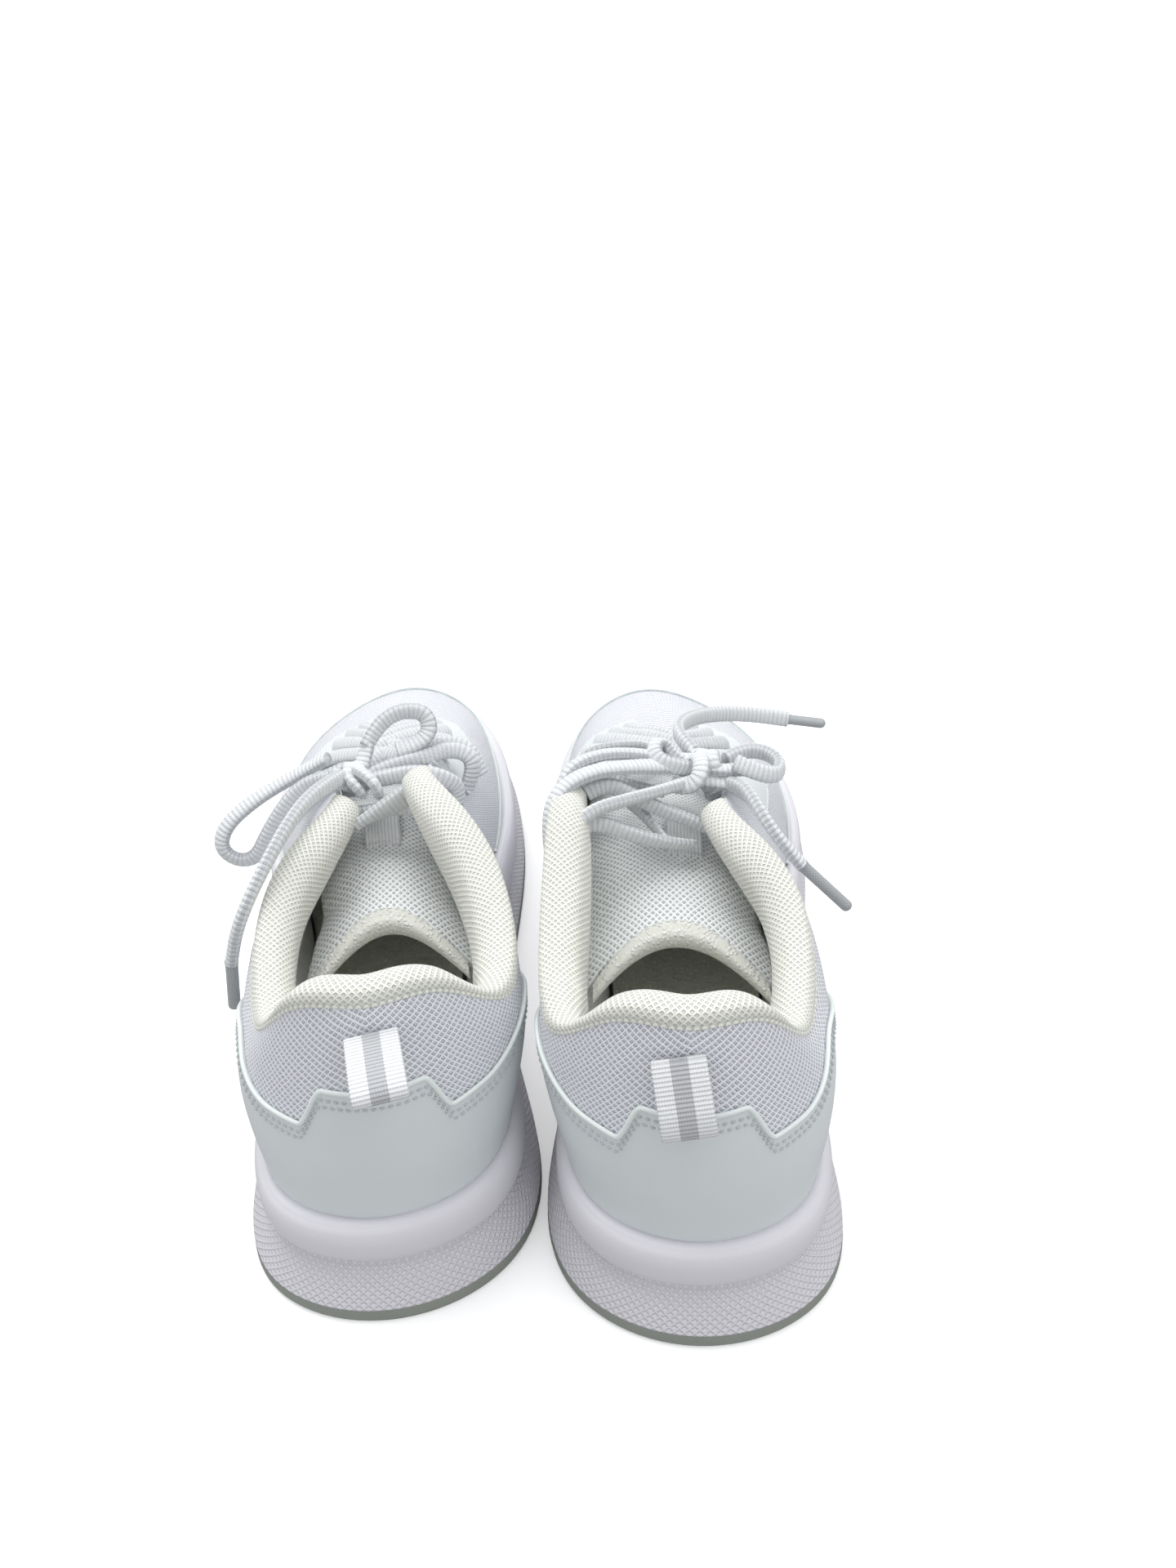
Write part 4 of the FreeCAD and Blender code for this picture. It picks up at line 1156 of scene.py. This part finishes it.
def knot(shoe):
    """The crossing of the bow: two wraps pulled tight, and the strands drawn through them."""
    centre = np.array(KNOT[shoe.side], float)
    build = Build()
    angle = np.linspace(0, 2 * math.pi, 60)
    for shift, size, tilt in ((-1.6, 0.74, 0.25), (1.7, 0.68, -0.35)):
        ring = np.stack([shift + tilt * np.sin(angle) * 2, 4.9 * size * np.cos(angle),
                         4.4 * size * np.sin(angle)], axis=1)
        rings, uv = sweep(evenly(ring + centre, 0.4), oval(4.8, 3.0), RIGHTWARD, 0.0, ribbed)
        build.grid(rings, uv, wrap_columns=True, caps=True)
    for route in WRAPS[shoe.side]:
        strand(build, route, (1, 0.3, 0), 0.5, 4.8, 3.0)
    piece = build.make(shoe, "bow_knot", LACE, "lace", period=1.0)
    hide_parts(shoe.name("lace_knot"))


def aglet(shoe, name):
    """Clear sleeve on a lace end, rounded off at its tip."""
    start, end = (np.array(p, float) for p in AGLETS[name])
    ahead = unit(end - start)
    path = evenly(np.array([start - ahead * 0.5, end + ahead * 1.2]), 0.4)

    def taper(run, total):
        from_tip = total - run
        tip = math.sqrt(max(0.0, 1 - max(0.0, 1 - from_tip / 1.6) ** 2))
        return max(0.25, tip) * (1.0 + 0.12 * max(0.0, 1 - run / 1.5))

    rings, uv = sweep(path, oval(3.5, 3.1, 18, 2.0), RIGHTWARD, 0.0, taper)
    build = Build().grid(rings, uv, wrap_columns=True, caps=True)
    piece = build.make(shoe, name.split("_", 1)[1] + "_sleeve", SLEEVE, "aglet")
    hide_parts(name)
    return piece


def free_lace(shoe, name):
    """A loose tail or bow loop of lace, with its sleeve where it has one."""
    length, far_end, twist = FREE_LACES[name]
    build = Build()
    path = strand(build, TAILS[name], (0, 0, 1), twist)
    piece = build.make(shoe, name.split("_", 1)[1] + "_braid", LACE, "lace", period=1.0)
    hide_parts(name)
    aglet_name = name.replace("lace_tail", "aglet")
    sleeves = [aglet(shoe, aglet_name)] if aglet_name in AGLETS else []
    tuple(shoe.pair(TAILS[name][0]))
    [tuple(p) for p in shoe.pair(path)]


KEPT_SOLIDS = {
    "outsole": RUBBER, "heel_overlay": FILM, "toe_overlay": TOE_FILM,
    "eyestay_outer": STAY_FILM, "eyestay_inner": STAY_FILM, "heel_counter": BOARD,
    "toe_puff": BOARD, "lining": LINING, "sockliner": SOCK, "insole_board": BOARD,
}


def shoe_pieces(shoe):
    """Every fixed piece of a shoe; the solids that show as they are only get a material."""
    for make in (upper, midsole, collar, collar_seam, back_seam, heel_cap_trim, toe_cap_trim,
                 eyestay_trim, tongue, tongue_edge, keeper, pull_loop, laces, knot):
        make(shoe)
    for what, material in KEPT_SOLIDS.items():
        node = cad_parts[shoe.name(what)]
        node.data.materials.clear()
        node.data.materials.append(material)


shoes = {side: Shoe(side) for side in ("left", "right")}
for shoe in shoes.values():
    shoe_pieces(shoe)
for name in FREE_LACES:
    free_lace(shoes[name.split("_", 1)[0]], name)


# ---- floor, light, camera
FLOOR_REACH = 30.0
FLOOR_BOUNCE = (0.4, 0.4, 0.4)      # what the shoes get back from the paper
FLOOR_SEEN = (0.9, 0.9, 0.9)
FLOOR_GLOW = 0.3                    # seen by the camera only
SKY_COLOUR = (0.97, 0.98, 1.0, 1.0)
SKY_STRENGTH = 0.8
SKY_SEEN = 1.1
LIGHT_AIM = (0, 0, 0.05)
LIGHT_SIZE = 0.9
CAMERA_AT = (0.01238, -0.28525, 0.2688)
CAMERA_DOWN = 0.5976                # radians
CAMERA_YAW = -0.02934
CAMERA_ROLL = -0.03735
SENSOR = 36.0                       # mm high
LENS = 24.0440625                   # mm


def floor():
    reach = FLOOR_REACH
    points = [(-reach, -reach, 0), (reach, -reach, 0), (reach, reach, 0), (-reach, reach, 0)]
    piece = mesh_object("floor", points, [(0, 1, 2, 3)], smooth=False)
    look = Look("floor_paper", FLOOR_BOUNCE, 0.9, Emission_Color=(1.0, 1.0, 1.0, 1.0))
    seen = look.node("ShaderNodeLightPath").outputs["Is Camera Ray"]
    look.paint(seen, FLOOR_BOUNCE, FLOOR_SEEN)
    look.set("Emission Strength", look.math("MULTIPLY", seen, FLOOR_GLOW))
    piece.data.materials.append(look.material)


def area_light(name, place, power):
    light = bpy.data.lights.new(name, "AREA")
    light.shape = "DISK"
    light.size = LIGHT_SIZE
    light.energy = power
    holder = linked(name, light)
    holder.location = place
    direction = Vector(LIGHT_AIM) - Vector(place)
    holder.rotation_euler = direction.to_track_quat("-Z", "Y").to_euler()


def sky():
    """Even light from all round, a little brighter where the camera sees it."""
    world = bpy.data.worlds.new("studio")
    world.use_nodes = True
    tree = world.node_tree
    background = tree.nodes["Background"]
    background.inputs[0].default_value = SKY_COLOUR
    seen = tree.nodes.new("ShaderNodeLightPath")
    level = tree.nodes.new("ShaderNodeMapRange")
    level.inputs["To Min"].default_value = SKY_STRENGTH
    level.inputs["To Max"].default_value = SKY_SEEN
    tree.links.new(seen.outputs["Is Camera Ray"], level.inputs["Value"])
    tree.links.new(level.outputs[0], background.inputs[1])
    bpy.context.scene.world = world


def camera():
    data = bpy.data.cameras.new("camera")
    data.sensor_fit = "VERTICAL"
    data.sensor_height = SENSOR
    data.lens = LENS
    data.clip_start = 0.01
    holder = linked("camera", data)
    down, yaw, roll = CAMERA_DOWN, CAMERA_YAW, CAMERA_ROLL
    level = math.cos(down)
    ahead = np.array([-math.sin(yaw) * level, math.cos(yaw) * level, -math.sin(down)])
    flat = np.array([math.cos(yaw), math.sin(yaw), 0.0])
    over = np.cross(flat, ahead)
    side = flat * math.cos(roll) + over * math.sin(roll)
    over = over * math.cos(roll) - flat * math.sin(roll)
    columns = np.stack([side, over, -ahead, np.array(CAMERA_AT)], axis=1)
    holder.matrix_world = Matrix(np.vstack([columns, (0, 0, 0, 1)]).tolist())
    bpy.context.scene.camera = holder


floor()
sky()
area_light("key", (-0.25, 0.35, 1.2), 9)
area_light("fill", (0.6, -0.2, 1.0), 2.5)
camera()
bpy.context.scene.view_settings.view_transform = "Standard"
